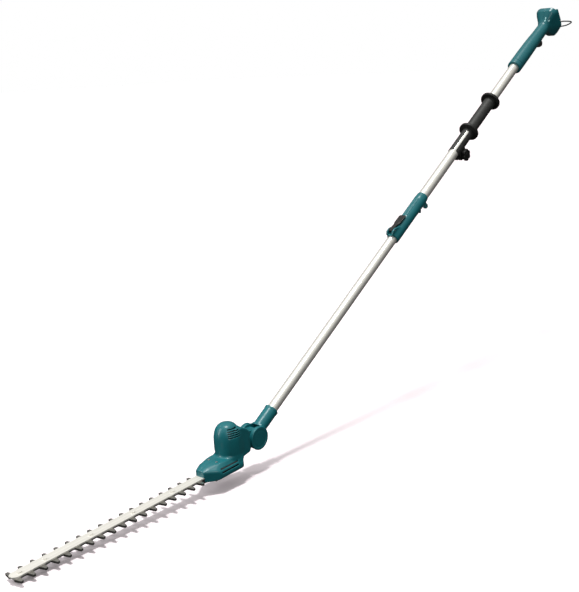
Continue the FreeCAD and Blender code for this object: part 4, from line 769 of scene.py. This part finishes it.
floor = stage_mesh("floor", [(x, y, floor_height(x)) for x, y in (
    (-FLOOR_REACH, -FLOOR_REACH), (FLOOR_REACH, -FLOOR_REACH),
    (FLOOR_REACH, FLOOR_REACH), (-FLOOR_REACH, FLOOR_REACH))], [(0, 1, 2, 3)])
floor_finish, floor_tree, floor_shader, floor_place = material_nodes("floor_paper")
paper = noise(floor_tree, floor_place, 0.6, 4)
fibre = noise(floor_tree, floor_place, 0.002, 4)
floor_tint = mixed_colour(floor_tree, spread(floor_tree, paper, 0, 1),
                          (0.95, 0.86, 0.90), (0.96, 0.88, 0.915))
floor_tree.links.new(floor_tint, floor_shader.inputs["Base Color"])
floor_tree.links.new(spread(floor_tree, fibre, 0.88, 0.96), floor_shader.inputs["Roughness"])
floor_shader.inputs["Specular IOR Level"].default_value = 0.1
bump(floor_tree, floor_shader, ((fibre, 0.00005),))
floor.data.materials.append(floor_finish)
floor.visible_glossy = False
floor.visible_diffuse = False

world = bpy.data.worlds.new("studio")
bpy.context.scene.world = world
world.use_nodes = True
background = world.node_tree.nodes["Background"]
sky = world.node_tree.nodes.new("ShaderNodeTexCoord").outputs["Generated"]
split = world.node_tree.nodes.new("ShaderNodeSeparateXYZ")
world.node_tree.links.new(sky, split.inputs["Vector"])
# a bright ceiling over dark surroundings, which draws the dark edges on the tubes and the casing
height = spread(world.node_tree, split.outputs["Z"], 0.0, 1.0, 0.15, 0.75)
world.node_tree.links.new(mixed_colour(world.node_tree, height, (0.070, 0.070, 0.068), (0.95, 0.95, 0.93)),
                          background.inputs["Color"])
background.inputs["Strength"].default_value = 0.62

# white sweep round the floor's edge, seen by the camera only
BACKDROP_REACH = 58.0
BACKDROP_BOTTOM = -8.0
ring_corners = [(-BACKDROP_REACH, -BACKDROP_REACH), (BACKDROP_REACH, -BACKDROP_REACH),
                (BACKDROP_REACH, BACKDROP_REACH), (-BACKDROP_REACH, BACKDROP_REACH)]
backdrop = stage_mesh("backdrop",
                      [(x, y, z) for z in (BACKDROP_BOTTOM, BACKDROP_TOP) for x, y in ring_corners],
                      [(side, (side + 1) % 4, (side + 1) % 4 + 4, side + 4) for side in range(4)])
backdrop_finish, _, backdrop_shader, _ = material_nodes("backdrop_white")
backdrop_shader.inputs["Base Color"].default_value = (0, 0, 0, 1)
backdrop_shader.inputs["Specular IOR Level"].default_value = 0
backdrop_shader.inputs["Emission Color"].default_value = (1, 1, 1, 1)
backdrop_shader.inputs["Emission Strength"].default_value = 1.0
backdrop.data.materials.append(backdrop_finish)
for ray in ("diffuse", "glossy", "transmission", "volume_scatter", "shadow"):
    setattr(backdrop, "visible_" + ray, False)


def add_light(name, kind, spot, target, power, colour):
    light = bpy.data.lights.new(name, kind)
    light.energy = power
    light.color = colour
    lamp_object = bpy.data.objects.new(name, light)
    bpy.context.scene.collection.objects.link(lamp_object)
    lamp_object.location = spot
    facing = (Vector(target) - Vector(spot)).normalized()
    lamp_object.rotation_mode = "QUATERNION"
    lamp_object.rotation_quaternion = facing.to_track_quat("-Z", "Y")
    return light


def soft_box(name, spot, target, width, height, power, colour=(1, 1, 1)):
    light = add_light(name, "AREA", spot, target, power, colour)
    light.shape = "RECTANGLE"
    light.size = width
    light.size_y = height


# the overhead bank, which leaves a soft band of shadow under the tool
overhead = add_light("overhead", "SUN", (0.9, 0, 3), (0.9, 0, 0), 2.6, (1, 1, 0.98))
overhead.angle = math.radians(10)
soft_box("key_left", (3.7, -1.6, 0.6), (1.4, 0, -0.7), 0.5, 2.4, 48)
soft_box("camera_fill", (2.9, 2.9, 1.0), (1.2, 0, -0.6), 1.6, 1.2, 34)

# the viewpoint: worked out from the tool's own proportions
CAMERA_FROM_PIVOT = Vector((1.501236, 1.507128, 0.895769))
CAMERA_RIGHT = Vector((-0.65237211, 0.75355901, -0.08099049))
CAMERA_DOWN = Vector((0.2490119, 0.11218377, -0.96198122))
CAMERA_FORWARD = Vector((-0.7158238, -0.64773731, -0.26083073))
camera_data = bpy.data.cameras.new("camera")
camera_data.lens = 61.14
camera_data.sensor_width = 36.0
camera_data.clip_start = 0.01
camera_data.clip_end = 200.0
camera = bpy.data.objects.new("camera", camera_data)
bpy.context.scene.collection.objects.link(camera)
turn = Matrix((CAMERA_RIGHT, -CAMERA_DOWN, -CAMERA_FORWARD)).transposed().to_4x4()
camera.matrix_world = Matrix.Translation(PIVOT + CAMERA_FROM_PIVOT) @ turn
bpy.context.scene.camera = camera
bpy.context.scene.view_settings.view_transform = "Standard"
